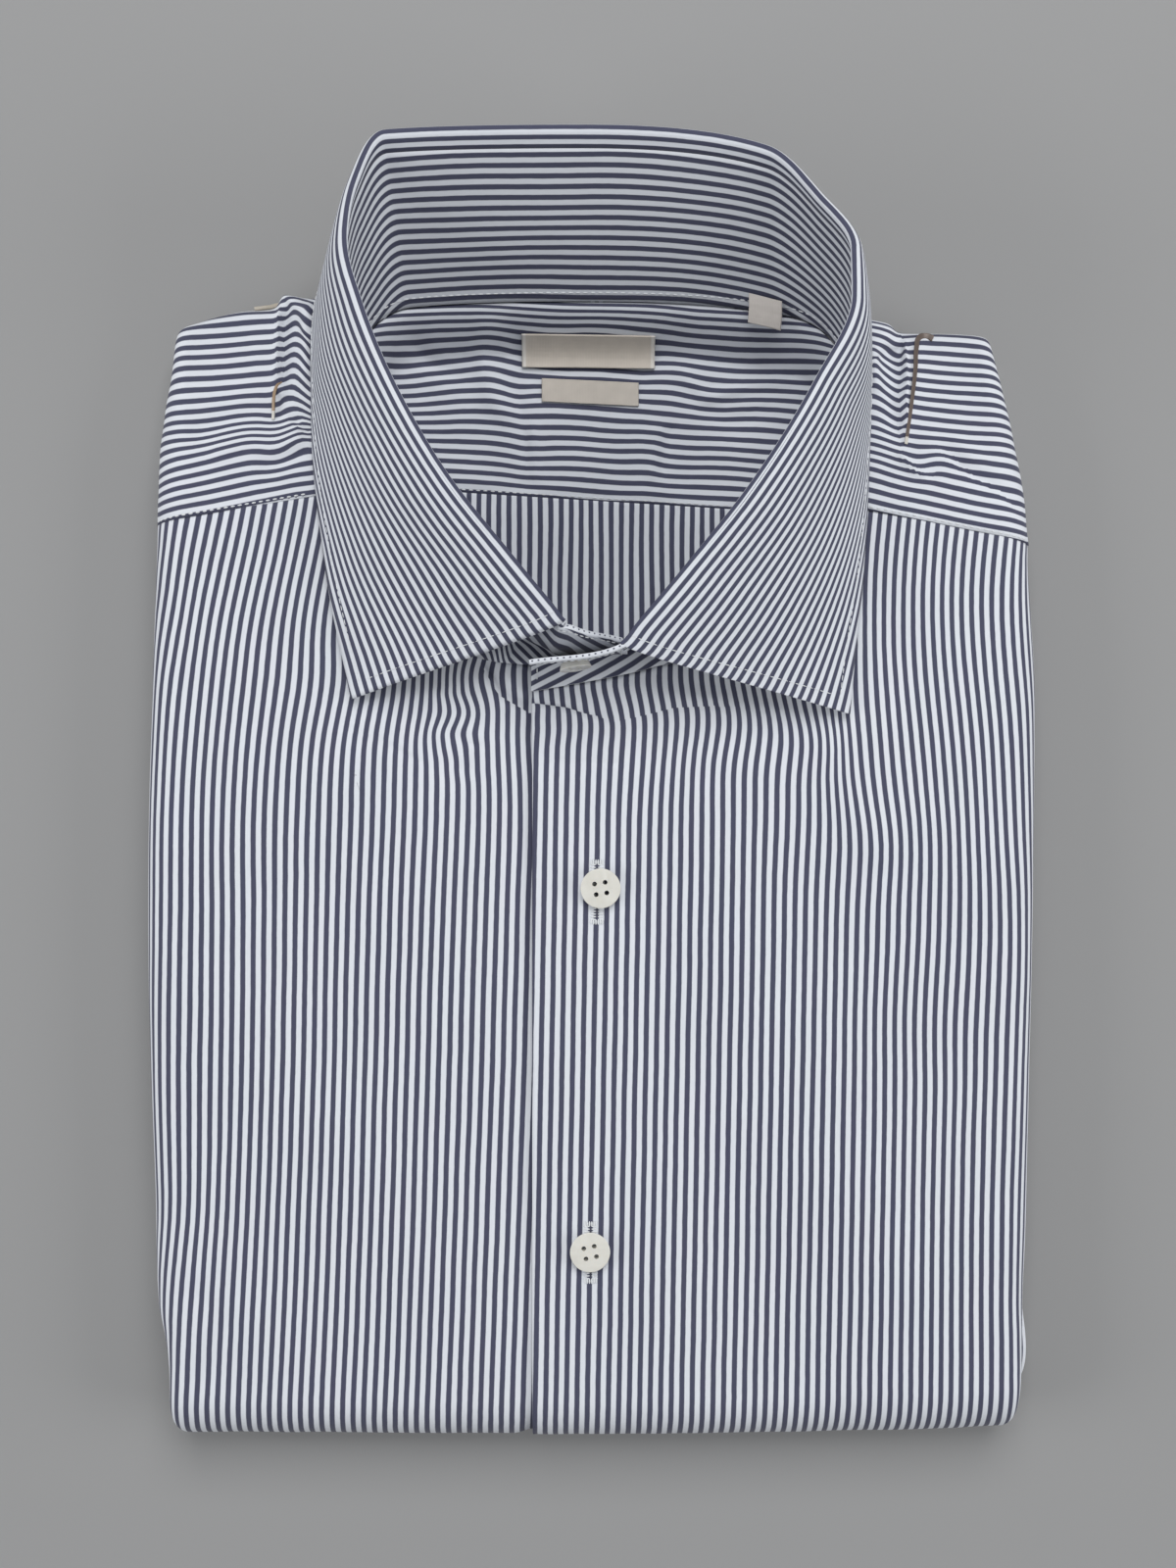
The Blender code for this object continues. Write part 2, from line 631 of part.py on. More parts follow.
def sleeve(side, material, collection):
    """A sleeve folded flat down the back of the shirt."""
    name = "sleeve_left" if side < 0 else "sleeve_right"
    rings = []
    for y, inner_x, outer_x, low_z, high_z in SLEEVE:
        if side < 0:
            outer_x -= float(smooth(LEFT_SLEEVE, LEFT_SLEEVE_COLUMNS, "narrower", y))
        middle = (low_z + high_z) / 2
        thick = (high_z - low_z) / 2
        ring = []
        for turn in (90, 58, 26, 0, -26, -58, -90):
            angle = math.radians(turn)
            ring.append((outer_x - thick + thick * math.cos(angle), middle + thick * math.sin(angle)))
        for turn in (-90, -45, 0, 45, 90):
            angle = math.radians(turn)
            ring.append((inner_x + thick - thick * math.cos(angle), middle + thick * math.sin(angle)))
        rings.append([(side * x, y, z) for x, z in ring])
    return loft(name, rings, material, collection)


# ---------------------------------------------------------------- the collar


def leaf_stations():
    steady = np.linspace(LEAF[0][0], LEAF[-1][0], 36)
    open_run = [at for at in steady if min(abs(at - bend) for bend in BEND_STATIONS) > 3]
    return sorted([*open_run, *BEND_STATIONS])


def stand_stations():
    first, last = COLLAR[0][0], COLLAR[-1][0]
    return [first, (2 * first + LEAF[0][0]) / 3, (first + 2 * LEAF[0][0]) / 3, *leaf_stations(),
            (last + 2 * LEAF[-1][0]) / 3, (2 * last + LEAF[-1][0]) / 3, last]


def stand_profile(at, shares):
    """Points up the inside of the stand. The band's front ends flare out flat at their foot."""
    base, fold, up, out = collar_frame(at)
    top = fold - up * float(smooth(COLLAR, COLLAR_COLUMNS, "rise", at))
    corner = np.array([top[0], top[1], base[2]])
    flare = float(ease((abs(at) - FLARE[0]) / (FLARE[1] - FLARE[0])))
    foot_pull = (top - base) * (1 - flare) + (corner - base) * FLARE_CORNER * flare
    top_pull = (top - base) * (1 - flare) + (top - corner) * FLARE_CORNER * flare
    return [hermite(base, top, foot_pull, top_pull, t) for t in shares]


def collar_stand(material, collection):
    rows = [stand_profile(at, (0.0, 0.2, 0.38, 0.55, 0.75, 1.0)) for at in stand_stations()]
    return sheet("collar_stand", rows, COLLAR_WALL, material, collection, turned=True)


def leaf_section(at):
    """One line of the leaf: up from the stand, over the roll line and down to its edge."""
    _, fold, up, out = collar_frame(at)
    pick = {name: float(smooth(LEAF, LEAF_COLUMNS, name, at)) for name in LEAF_COLUMNS[1:]}
    rise = float(smooth(COLLAR, COLLAR_COLUMNS, "rise", at)) - GAP
    edge = np.array([pick["edge_x"], pick["edge_y"], pick["edge_z"]])
    level_out = unit(np.array([out[0], out[1], 0.0]))
    seam = fold - up * rise
    points = [hermite(seam, fold, up * rise * 1.3, level_out * rise, t) for t in (0.0, 0.4, 0.75)]
    fall = edge - fold + np.array([0.0, 0.0, -pick["steep"]])
    for t in (0.0, 0.07, 0.16, 0.28, 0.44, 0.62, 0.81, 1.0):
        points.append(hermite(fold, edge, level_out * pick["swell"], fall, t))
    return points


def collar_leaf(material, collection):
    rows = [leaf_section(at) for at in leaf_stations()]
    return sheet("collar_leaf", rows, COLLAR_WALL, material, collection, turned=True)


# ---------------------------------------------------------------- buttons, labels and clips


def button(name, place, facing, radius, material, parts, cutters):
    """A turned four-hole button, on its back on the cloth."""
    height = BUTTON_HEIGHT
    profile = (
        (0.0, height - 0.7),
        (radius * 0.56, height - 0.7),
        (radius * 0.68, height - 0.1),
        (radius * 0.82, height),
        (radius * 0.96, height - 0.5),
        (radius, height - 1.1),
        (radius * 0.93, 0.3),
        (radius * 0.84, 0.0),
        (0.0, 0.0),
    )
    mesh = bpy.data.meshes.new(name)
    edges = [(i, i + 1) for i in range(len(profile) - 1)]
    mesh.from_pydata([(x * MM, 0, z * MM) for x, z in profile], edges, [])
    mesh.materials.append(material)
    made = bpy.data.objects.new(name, mesh)
    parts.objects.link(made)
    screw = made.modifiers.new("turn", "SCREW")
    screw.steps = screw.render_steps = 20
    screw.use_merge_vertices = True
    screw.merge_threshold = 1e-5
    made.location = Vector(place) * MM
    made.rotation_mode = "QUATERNION"
    made.rotation_quaternion = Vector(facing).to_track_quat("Z", "Y")
    for i, (sx, sy) in enumerate(((1, 1), (-1, 1), (-1, -1), (1, -1))):
        bpy.ops.mesh.primitive_cylinder_add(vertices=8, radius=BUTTON_HOLE_RADIUS * MM, depth=20 * MM)
        hole = bpy.context.object
        hole.name = f"{name}_hole_{i}"
        for old in list(hole.users_collection):
            old.objects.unlink(hole)
        cutters.objects.link(hole)
        hole.parent = made
        hole.location = (sx * BUTTON_HOLE_REACH * MM, sy * BUTTON_HOLE_REACH * MM, 0)
        hole.display_type = "WIRE"
        hole.hide_render = True
        cut = made.modifiers.new(f"hole_{i}", "BOOLEAN")
        cut.object = hole
        cut.operation = "DIFFERENCE"
        cut.solver = "EXACT"
    return made


def label(name, middle_x, top_y, width, length, material, collection):
    """A woven label on the inner yoke: a flat strip between two of the yoke's lines, moved up."""
    rows = []
    for x in (middle_x - width / 2, middle_x, middle_x + width / 2):
        seam = neck_seam_inside(x + 2)
        row = []
        for y in (top_y, top_y - length):
            rise = (seam[2] - NECK_FLOOR) * float(inner_yoke_height(seam[1] - y))
            row.append(np.array([x, y, NECK_FLOOR + rise + LABEL_WALL + 2 * GAP]))
        rows.append([row[0] + (row[1] - row[0]) * t for t in (0.0, 0.33, 0.67, 1.0)])
    return sheet(name, rows, LABEL_WALL, material, collection)


def size_tag(material, collection):
    """The small folded tag that stands out of the neck seam."""
    left = [np.array(point) for point in SIZE_TAG]
    right = [point + np.array(SIZE_TAG_WIDTH) for point in left]
    rows = [left, right]
    return sheet("size_tag", rows, LABEL_WALL, material, collection)


def wire(name, points, material, collection):
    """A round wire through the points, with closed ends."""
    line = bpy.data.curves.new(name, "CURVE")
    line.dimensions = "3D"
    line.bevel_depth = CLIP_RADIUS * MM
    line.bevel_resolution = 1
    line.use_fill_caps = True
    spline = line.splines.new("POLY")
    spline.points.add(len(points) - 1)
    for spot, point in zip(spline.points, points):
        spot.co = (*(Vector(point) * MM), 1.0)
    line.materials.append(material)
    made = bpy.data.objects.new(name, line)
    collection.objects.link(made)
    return made


# ---------------------------------------------------------------- assembly


def build():
    clear_scene()
    parts = new_collection(OBJECT_NAME)
    cutters = new_collection("cutters", helper=True)

    front(-1, new_material("front_left", "stripe"), parts)
    front(1, new_material("front_right", "stripe"), parts)
    yoke_outer(new_material("yoke_outer", "stripe"), parts)
    sheet("yoke_inner", inner_yoke_rows(), CLOTH_WALL, new_material("yoke_inner", "stripe"), parts)
    sheet("back", back_rows(), CLOTH_WALL, new_material("back", "stripe"), parts)
    folded_layers(new_material("folded_layers", "fold"), parts, cutters)
    sleeve(-1, new_material("sleeve_left", "stripe"), parts)
    sleeve(1, new_material("sleeve_right", "stripe"), parts)
    collar_stand(new_material("collar_stand", "stripe"), parts)
    collar_leaf(new_material("collar_leaf", "stripe"), parts)

    for name, x, y in BUTTONS:
        place = (x, y, PACK_HEIGHT + GAP)
        button(name, place, (0, 0, 1), BUTTON_RADIUS, new_material(name, "button"), parts, cutters)
    spot = stand_profile(COLLAR_BUTTON_AT, (COLLAR_BUTTON_UP,))[0]
    _, _, _, out = collar_frame(COLLAR_BUTTON_AT)
    facing = unit(np.array([out[0], out[1], 0.0]))
    place = spot + facing * (COLLAR_WALL + 4 * GAP)
    white = new_material("button_collar", "button")
    button("button_collar", place, facing, COLLAR_BUTTON_RADIUS, white, parts, cutters)

    for name, *sizes in LABELS:
        label(name, *sizes, new_material(name, "label"), parts)
    size_tag(new_material("size_tag", "label"), parts)
    wire("clip_left", CLIP_LEFT, new_material("clip_left", "clear"), parts)
    wire("clip_right", CLIP_RIGHT, new_material("clip_right", "metal"), parts)

    centre = bpy.data.objects.new("centre", None)
    centre.location = (-MIDDLE_X * MM, -MIDDLE_Y * MM, 0.0)
    for made in [*parts.objects, *cutters.objects]:
        if made.parent is None:
            made.parent = centre
    parts.objects.link(centre)


build()
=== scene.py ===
"""Looks for a folded dress shirt with navy and white stripes.

Sizes are millimetres in the shirt's own drawing frame, with X = 0 and Y = 0 near the upper
button, and to_frame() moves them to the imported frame, in metres. Left and right are the
viewer's, looking down on the front.
"""

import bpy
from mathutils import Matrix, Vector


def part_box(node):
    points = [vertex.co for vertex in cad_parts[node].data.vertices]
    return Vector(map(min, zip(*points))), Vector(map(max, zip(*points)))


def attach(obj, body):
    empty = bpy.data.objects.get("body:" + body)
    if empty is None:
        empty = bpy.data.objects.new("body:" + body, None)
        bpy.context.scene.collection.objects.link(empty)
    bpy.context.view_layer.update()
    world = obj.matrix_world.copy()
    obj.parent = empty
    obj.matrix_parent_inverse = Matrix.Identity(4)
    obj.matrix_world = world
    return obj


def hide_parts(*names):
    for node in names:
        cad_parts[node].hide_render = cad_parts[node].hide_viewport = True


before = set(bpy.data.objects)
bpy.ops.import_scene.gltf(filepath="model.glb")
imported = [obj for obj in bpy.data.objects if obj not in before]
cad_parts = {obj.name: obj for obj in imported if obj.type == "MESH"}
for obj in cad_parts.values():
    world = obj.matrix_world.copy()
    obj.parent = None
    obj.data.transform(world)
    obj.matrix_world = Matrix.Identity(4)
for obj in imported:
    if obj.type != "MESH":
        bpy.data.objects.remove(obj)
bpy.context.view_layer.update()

import math

import bmesh
import bpy
import numpy as np
from mathutils import Matrix, Vector, noise

MM = 0.001
MIDDLE_X = 0.15
MIDDLE_Y = -5.25

PITCH = 2.8  # one navy and one white stripe
CLOTH = 0.8  # wall of a single panel
COLLAR = 1.3  # wall of the collar, two plies and their interlining
GAP = 0.3
SEAM_GAP = 0.02
PACK = 25.0
PLACKET_X = -15.7
UNDERLAP = 32.0
UNDERLAP_RISE = 5.0
UNDERLAP_DROP = 1.2  # how far the left front goes down to run under the right one
BOTTOM_Y = -177.3
FLAP_END_Y = 85.0
NECK_FLOOR = 10.0
NECK_RISE = 13.0
INNER_SEAM_Y = 78.0
INNER_SEAM_SLOPE = -0.062

# Stations along the collar by the length of its roll line, from the back of the neck.
COLLAR_COLUMNS = ("at", "base_x", "base_y", "base_z", "fold_x", "fold_y", "fold_z", "rise")
COLLAR_LINES = (
    (-212, 11.5, 33.4, 23.9, 8.2, 38.0, 39.5, 0.0),
    (-193, -8.0, 30.5, 24.1, -6.7, 41.6, 50.0, 4.2),
    (-188, -13.2, 31.4, 24.5, -9.8, 45.3, 51.0, 4.4),
    (-172, -29.8, 34.5, 25.7, -19.8, 57.2, 54.0, 5.2),
    (-145, -52.0, 50.5, 26.0, -36.5, 77.9, 58.5, 6.0),
    (-121, -62.0, 72.5, 26.0, -48.8, 98.9, 60.5, 6.0),
    (-97, -65.5, 95.0, 25.8, -57.8, 120.7, 61.0, 6.0),
    (-80, -63.5, 111.0, 25.6, -61.6, 136.9, 60.0, 6.0),
    (-65, -58.0, 122.4, 24.8, -59.3, 152.5, 57.0, 6.0),
    (-50, -48.0, 128.0, 22.7, -52.1, 164.6, 54.5, 6.0),
    (0, -2.0, 129.7, 22.3, -2.0, 166.0, 54.0, 6.0),
    (47, 47.0, 126.8, 22.5, 44.3, 160.8, 54.0, 6.0),
    (65, 61.2, 121.9, 24.4, 57.0, 148.0, 57.0, 6.0),
    (81, 68.6, 110.8, 25.6, 65.6, 134.5, 59.5, 6.0),
    (94, 71.0, 97.0, 25.8, 65.6, 122.0, 61.0, 6.0),
    (117, 69.0, 74.0, 26.0, 56.1, 100.6, 60.5, 6.0),
    (147, 55.5, 48.5, 26.0, 40.5, 75.6, 57.5, 6.0),
    (173, 34.0, 35.0, 25.8, 24.0, 55.0, 53.5, 5.2),
    (190, 17.5, 31.4, 25.8, 12.0, 40.9, 51.0, 4.5),
    (196, 11.5, 29.8, 25.7, 7.5, 35.7, 50.0, 4.2),
    (222, -16.0, 24.6, 25.6, -15.9, 31.7, 49.0, 0.0),
)
# Between these stations the band's foot comes to lie flat, and its top to stand upright.
FLARE = (168.0, 188.0)
FLARE_TURN = 2.2  # how far from its corner the band starts to turn up
FLARE_BACK = 1.5  # how far the foot of the upright part lies behind its top
# Shares of the underneath end's width that lie flat, and where it is up again, and how far up.
UNDER_FOOT = 0.50
UNDER_LIP = 0.60
UNDER_LIP_UP = 0.56
UNDER_TURN = 1.6
# How many stripes lie between the roll line and the leaf's edge.
LEAF_STRIPES_COLUMNS = ("at", "count")
LEAF_STRIPES = (
    (-193, 24.0), (-172, 23.5), (-145, 22.5), (-121, 20.0), (-97, 16.5),
    (94, 17.0), (117, 20.5), (147, 23.5), (173, 25.0), (196, 26.0),
)
LEAF_COLUMNS = ("at", "edge_x", "edge_y", "edge_z", "swell", "steep")
LEAF_LINES = (
    (-193, -63.9, 22.5, 27.6, 8.0, 4.0),
    (-172, -68.2, 42.6, 27.6, 20.0, 12.0),
    (-145, -72.4, 69.5, 27.4, 20.0, 26.0),
    (-121, -74.6, 94.0, 27.0, 18.0, 34.0),
    (-97, -74.8, 113.5, 26.8, 15.0, 36.0),
    (-88, -74.4, 124.5, 26.0, 14.0, 32.0),
    (-80, -72.8, 134.8, 20.0, 13.0, 28.0),
    (-65, -66.5, 145.5, 12.5, 12.0, 20.0),
    (-50, -54.5, 152.5, 10.0, 12.0, 10.0),
    (0, -2.0, 154.5, 9.0, 12.0, 10.0),
    (47, 49.0, 150.0, 10.0, 12.0, 10.0),
    (65, 63.5, 142.0, 13.0, 12.0, 20.0),
    (81, 73.4, 130.4, 20.5, 12.0, 28.0),
    (88, 74.6, 120.0, 26.0, 13.0, 32.0),
    (94, 74.8, 110.0, 26.8, 14.0, 36.0),
    (117, 74.4, 87.5, 27.0, 18.0, 34.0),
    (147, 72.8, 59.0, 27.4, 20.0, 26.0),
    (173, 70.5, 35.5, 27.6, 20.0, 12.0),
    (196, 68.9, 18.6, 27.6, 8.0, 4.0),
)
FRONT_COLUMNS = ("y", "left_x", "right_x", "roll_radius", "roll_angle")
FRONT_LINES = (
    (BOTTOM_Y, -113.4, 115.4, 4.5, 70.0),
    (-160, -113.8, 116.4, 5.5, 90.0),
    (-150, -115.2, 116.9, 7.0, 110.0),
    (-141, -117.2, 117.2, 8.5, 140.0),
    (-107, -118.2, 118.4, 9.0, 150.0),
    (-67, -119.4, 118.9, 9.0, 150.0),
    (-22, -120.2, 119.9, 9.0, 150.0),
    (27, -119.0, 120.5, 9.0, 150.0),
    (70, -117.6, 118.4, 9.0, 150.0),
)
FLAP_ROLL = (4.0, 60.0)
YOKE_COLUMNS = ("ray", "at", "edge_x", "edge_y", "top_z", "lip_z", "tail")
YOKE_LINES = (
    (0, -114.2, -117.6, 69.8, 25.0, 8.3, 0.8),
    (1, -109, -117.3, 85.0, 24.6, 8.3, 0.8),
    (2, -101, -115.9, 100.0, 22.5, 8.3, 0.8),
    (3, -96.5, -114.3, 112.0, 20.0, 8.3, 0.8),
    (4, -93, -113.0, 122.8, 18.0, 8.3, 0.8),
    (5, -89.5, -106.5, 126.2, 18.0, 8.3, 0.8),
    (6, -86, -96.0, 128.7, 18.5, 8.3, 0.8),
    (7, -82.5, -87.0, 129.4, 19.0, 8.3, 0.8),
    (8, -80.5, -83.0, 133.2, 21.0, 8.3, 0.8),
    (9, -76, -75.0, 132.0, 21.8, 8.3, 0.8),
    (10, -66, -60.5, 132.6, 23.2, 8.0, 0.8),
    (11, -55, -49.0, 133.5, 22.6, 7.6, 0.8),
    (12, -49, -43.0, 133.9, 23.2, 0.0, 32.0),
    (13, -38, -32.0, 134.3, 23.9, 0.0, 34.5),
    (14, -20, -16.0, 134.5, 24.2, 0.0, 36.0),
    (15, 0, -1.0, 134.4, 24.4, 0.0, 36.0),
    (16, 20, 18.0, 133.6, 24.4, 0.0, 35.0),
    (17, 36, 33.0, 132.6, 24.2, 0.0, 33.0),
    (18, 47, 44.0, 131.7, 23.6, 0.0, 31.0),
    (19, 52.5, 50.0, 131.2, 22.6, 7.6, 0.8),
    (20, 62, 59.0, 129.8, 23.0, 8.0, 0.8),
    (21, 75, 73.0, 126.8, 21.8, 8.3, 0.8),
    (22, 79, 80.6, 125.4, 21.0, 8.3, 0.8),
    (23, 82, 84.6, 123.2, 19.0, 8.3, 0.8),
    (24, 85, 92.0, 122.9, 18.5, 8.3, 0.8),
    (25, 88.5, 101.0, 122.6, 18.0, 8.3, 0.8),
    (26, 92, 107.8, 121.6, 18.0, 8.3, 0.8),
    (27, 97, 110.8, 112.5, 20.0, 8.3, 0.8),
    (28, 103, 114.2, 97.0, 22.5, 8.3, 0.8),
    (29, 110, 117.0, 81.0, 24.6, 8.3, 0.8),
    (30, 116.6, 118.8, 64.6, 25.0, 8.3, 0.8),
)
SLEEVE_COLUMNS = ("y", "inner_x", "outer_x", "low_z", "high_z")
SLEEVE_LINES = (
    (-166, 52.0, 114.0, 4.0, 6.8),
    (-163, 49.0, 118.6, 3.4, 7.6),
    (-156, 48.0, 119.8, 3.3, 7.8),
    (-140, 47.0, 118.2, 3.2, 7.9),
    (-110, 46.0, 117.4, 2.8, 7.9),
    (78, 46.0, 117.4, 2.4, 7.9),
    (86, 51.4, 116.6, 2.2, 7.9),
    (91, 51.6, 115.6, 0.0, 7.9),
    (110, 53.0, 111.5, 0.0, 7.6),
    (117, 56.0, 108.0, 0.0, 6.8),
    (120, 61.0, 103.0, 1.2, 5.4),
)
NARROWER_COLUMNS = ("y", "narrower")
NARROWER = ((-166, 2.0), (-150, 4.2), (-130, 2.6), (-100, 0.6), (119, 0.0))

# How the stripes of the fronts drift sideways from straight. Spread: at the middle, and for each
# 100 mm up. Pulls: the middle of each, its reach each way, and how far it moves them.
LEFT_SPREAD = (1.9, 2.6)
RIGHT_SPREAD = (0.9, 1.8)
LEFT_PULLS = (
    (-90, 90, 60, 42, 10.0),
    (-62, 27, 24, 12, 2.0),
    (-22, 31, 14, 9, -2.4),
    (-33, 28, 7, 6, -1.8),
    (-38, 12, 8, 5, -1.4),
    (-36, 24, 5.0, 2.0, -0.45),
    (-36, 19, 6.0, 2.2, 0.40),
    (-37, 14, 6.5, 2.0, -0.42),
    (-32, 10, 5.0, 2.2, 0.27),
    (-35, 3.4, 6.0, 2.5, -0.28),
    (-113, 48, 7, 16, 1.2),
    (-18, 14, 14, 12, -0.9),
    (-97, -8, 22, 20, -0.7),
    (-36, -8, 26, 18, 0.6),
    (-95, -75, 25, 30, 0.6),
    (-18, -60, 20, 60, 0.7),
    (-110, -105, 20, 22, 1.0),
    (-118, -118, 14, 14, 1.0),
    (-80, -185, 50, 40, -1.0),
)
RIGHT_PULLS = (
    (115, 50, 65, 45, -7.8),
    (-6, 27, 24, 6, -1.9),
    (38, 17, 22, 9, 2.0),
    (-4, 15, 14, 4, 0.5),
    (69, 12, 5, 16, -1.3),
    (59, 11, 13, 8, 1.4),
    (116, -8, 14, 22, -1.6),
    (74, 8, 10, 24, -0.8),
    (88, -62, 16, 14, -0.7),
    (14, 9, 12, 12, 0.8),
    (58, -2, 14, 16, 1.2),
    (76, -16, 16, 12, 1.0),
    (112, -110, 26, 75, -2.0),
)

# Soft troughs and ridges of the fronts: a line, its half width and height, troughs negative, and
# for some its half width on the left.
LEFT_RELIEF = (
    (((-30, 34), (-24.7, 24.7), (-16.2, 19.7)), 0.7, -2.3, 2.4),
    (((-30, 31), (-25.2, 22.4), (-16.6, 17.6)), 2.2, 0.5),
    (((-34, 10.8), (-29, 10.2)), 0.5, -0.4),
    (((-29, 33), (-24, 27), (-16, 22)), 2.0, 0.8),
    (((-43, 27), (-36, 18), (-31, 13), (-35, 4)), 2.6, 1.1),
    (((-47, 18), (-42, 8), (-38, -2)), 2.4, -0.7),
    (((-36, 4), (-37, -12), (-33, -28)), 3.2, 0.5),
    (((-68, 17), (-56, 11), (-44, 5)), 0.9, -0.4),
    (((-42, 29.5), (-41, 27), (-39.4, 24.6)), 0.7, -0.5),
    (((-56, 28), (-66, 0), (-78, -24)), 5.0, 0.7),
    (((-90, 60), (-92, 20), (-88, -30)), 6.0, 0.5),
    (((-104, 52), (-106, 0), (-104, -60)), 5.0, -0.5),
    (((-96, -90), (-99, -130), (-106, -160)), 5.0, 0.7),
    (((-108, -132), (-100, -146), (-104, -166)), 3.0, -0.6),
    (((-70, -60), (-74, -110), (-70, -160)), 7.0, -0.4),
)
RIGHT_RELIEF = (
    (((-16.4, 22.1), (-11.8, 21.6), (-6.3, 20.8), (-1.7, 19.3), (2.9, 18.3), (5.6, 16.0)),
     0.35, -1.1, 1.0),
    (((-15.4, 20.4), (-11.8, 20.0), (-6.3, 19.2), (-1.7, 17.7), (2.9, 16.7), (4.6, 13.7)),
     1.6, 0.5, 0.9),
    (((-12, 25.0), (0, 22.5), (8, 21.0)), 3.0, -0.5),
    (((5.0, 15.4), (15.2, 18.6), (22.3, 20.4), (31.4, 20.8), (40.6, 20.9), (55.5, 15.7)),
     0.5, -0.5, 0.7),
    (((22, 27.0), (38, 27.0), (52, 23.5), (62, 16.0)), 3.6, -1.1),
    (((63, 16), (70, -2), (78, -24)), 4.5, 0.9),
    (((80, 46), (88, 16), (92, -14)), 6.0, -0.5),
    (((100, 50), (104, 10), (103, -50)), 5.0, 0.5),
    (((30, 2), (27, -14), (22, -26)), 2.4, 0.45),
    (((-13, 5.8), (10, 5.4)), 0.5, -0.45),
    (((88, -70), (92, -110), (86, -150)), 7.0, 0.5),
    (((56, -70), (60, -110), (58, -160)), 8.0, -0.35),
)
YOKE_TIGHT = 1.07  # the flat cloth is this much longer than the rumpled yoke
YOKE_LEFT_PULL = 0.11  # at the top of its left part the stripes are pulled up by this share
# Up from each shoulder seam the stripes turn level: where they pivot, their slope at the seam
# and above it as shares of the seam's, and the heights between which they turn.
YOKE_LEVEL = ((-115.0, 1.15, 0.47, 14.0, 24.0), (104.0, 1.0, 0.45, 10.0, 26.0))
YOKE_RELIEF = (
    (((-83.6, 133), (-83.4, 118), (-83.0, 105)), 0.7, 1.9, 3.4),
    (((-84.3, 131), (-84.2, 118), (-83.9, 104)), 0.55, -1.4),
    (((-84.5, 107), (-83.0, 103.5)), 1.6, -1.0),
    (((-76.0, 131), (-76.2, 118), (-76.4, 106)), 2.2, -1.8),
    (((-110, 92), (-98, 98), (-88, 100.5), (-80, 97)), 3.0, 0.9),
    (((-104, 88), (-92, 91), (-84, 90), (-76, 93.5)), 2.4, -0.7),
    (((-90, 84), (-80, 87), (-74, 90)), 2.2, 0.6),
    (((-80.5, 99), (-77, 95.5), (-75, 92)), 1.0, 1.0),
    (((-79, 95), (-76, 97.5)), 0.8, -0.9),
    (((83.0, 92), (83.8, 108), (84.0, 122)), 0.7, 1.7, 4.2),
    (((84.7, 121), (84.6, 108), (83.9, 93)), 0.55, -1.4),
    (((75.6, 118), (76.0, 104)), 2.0, -1.6),
    (((82, 89), (86.5, 83.6), (90, 81.8)), 0.7, -1.1),
    (((90, 81.8), (94, 84.2), (101, 84)), 0.9, 0.9, 2.0),
    (((92, 92), (102, 82.5), (110, 78), (117, 72)), 0.9, 0.9, 2.6),
    (((86, 93), (97, 92), (108, 84)), 2.2, -0.5),
)
YOKE_PULLS = (
    (-80.6, 116, 3.8, 24, 2.2),
    (-73.0, 114, 4.2, 20, -4.4),
    (-92, 95, 9, 7.5, 1.6),
    (-83.5, 90, 5.5, 8.0, -1.6),
    (-77, 99, 3, 4.0, 1.4),
    (-76, 92, 4, 4.5, 1.8),
    (75.0, 108, 5.0, 20, 1.8),
    (82.4, 108, 3.2, 18, -0.6),
    (87.5, 85.5, 5.0, 5.0, -1.3),
    (93.5, 86.5, 5.0, 4.0, 1.0),
    (100, 69, 30.0, 11.0, -0.90),
)
# Creases where the stripes break off: a line, how far the break reaches, and how far they move
# along it on its left and on its right.
YOKE_SLIPS = (
    (((-83.5, 104), (-83.8, 118), (-84.0, 132)), 3.6, (-0.5, -0.6, -0.6, 0), (0, -0.3, -0.3, 0)),
    (((84.2, 122), (84.0, 108), (83.6, 93)), 3.6, (-0.5, -0.2, 0.5, 0.3), (0, -0.2, -0.4, -0.2)),
    (((83, 88), (86.5, 83.8), (90, 81.6), (94, 84.2)), 4.0,
     (0, -0.35, -0.35, 0), (0, 0.35, 0.35, 0)),
    (((94, 91), (102, 82.5), (110, 78), (117, 72)), 5.0, (0, -0.2, -0.2, 0), (0, 0.2, 0.2, 0)),
    (((-81, 98), (-77, 94.5), (-74, 93.5)), 2.5, (0, -0.3, -0.3, 0), (0, 0.3, 0.3, 0)),
)
LEFT_SLIPS = (
    (((-30, 33), (-24.9, 23.9), (-16.4, 18.9)), 4.2, (0, -0.40, -0.5, -0.5), (0, 0.15, 0.25, 0.2)),
)
RIGHT_SLIPS = (
    (((-15.4, 21.6), (-11.8, 21.2), (-6.3, 20.4), (-1.7, 18.9), (2.9, 17.9), (4.7, 16.2)), 3.0,
     (-0.5, -0.55, -0.7, -0.5, 0), (0.9, 0.75, 0.4, 0.1, 0)),
    (((5.0, 16.2), (15.2, 18.6), (22.3, 20.4), (31.4, 20.8), (40.6, 20.9)), 4.0,
     (0, -0.2, -0.2, 0), (0, 0.15, 0.15, 0)),
)
INNER_PULLS = (
    (-56, 112, 13, 16, -2.6),
    (-25, 119, 11, 9, 2.4),
    (-31, 104, 9, 8, 0.9),
    (-20, 108, 5, 7, -1.2),
    (0, 104, 20, 5, 1.0),
    (1, 124, 17, 4, 1.6),
    (23, 112, 7, 8, 1.2),
    (33, 106, 9, 6, -1.5),
    (46, 101, 9, 6, 0.8),
    (-18, 90, 5, 8, -0.7),
    (15, 90, 5, 8, 0.7),
    (24, 92, 8, 9, -0.8),
)
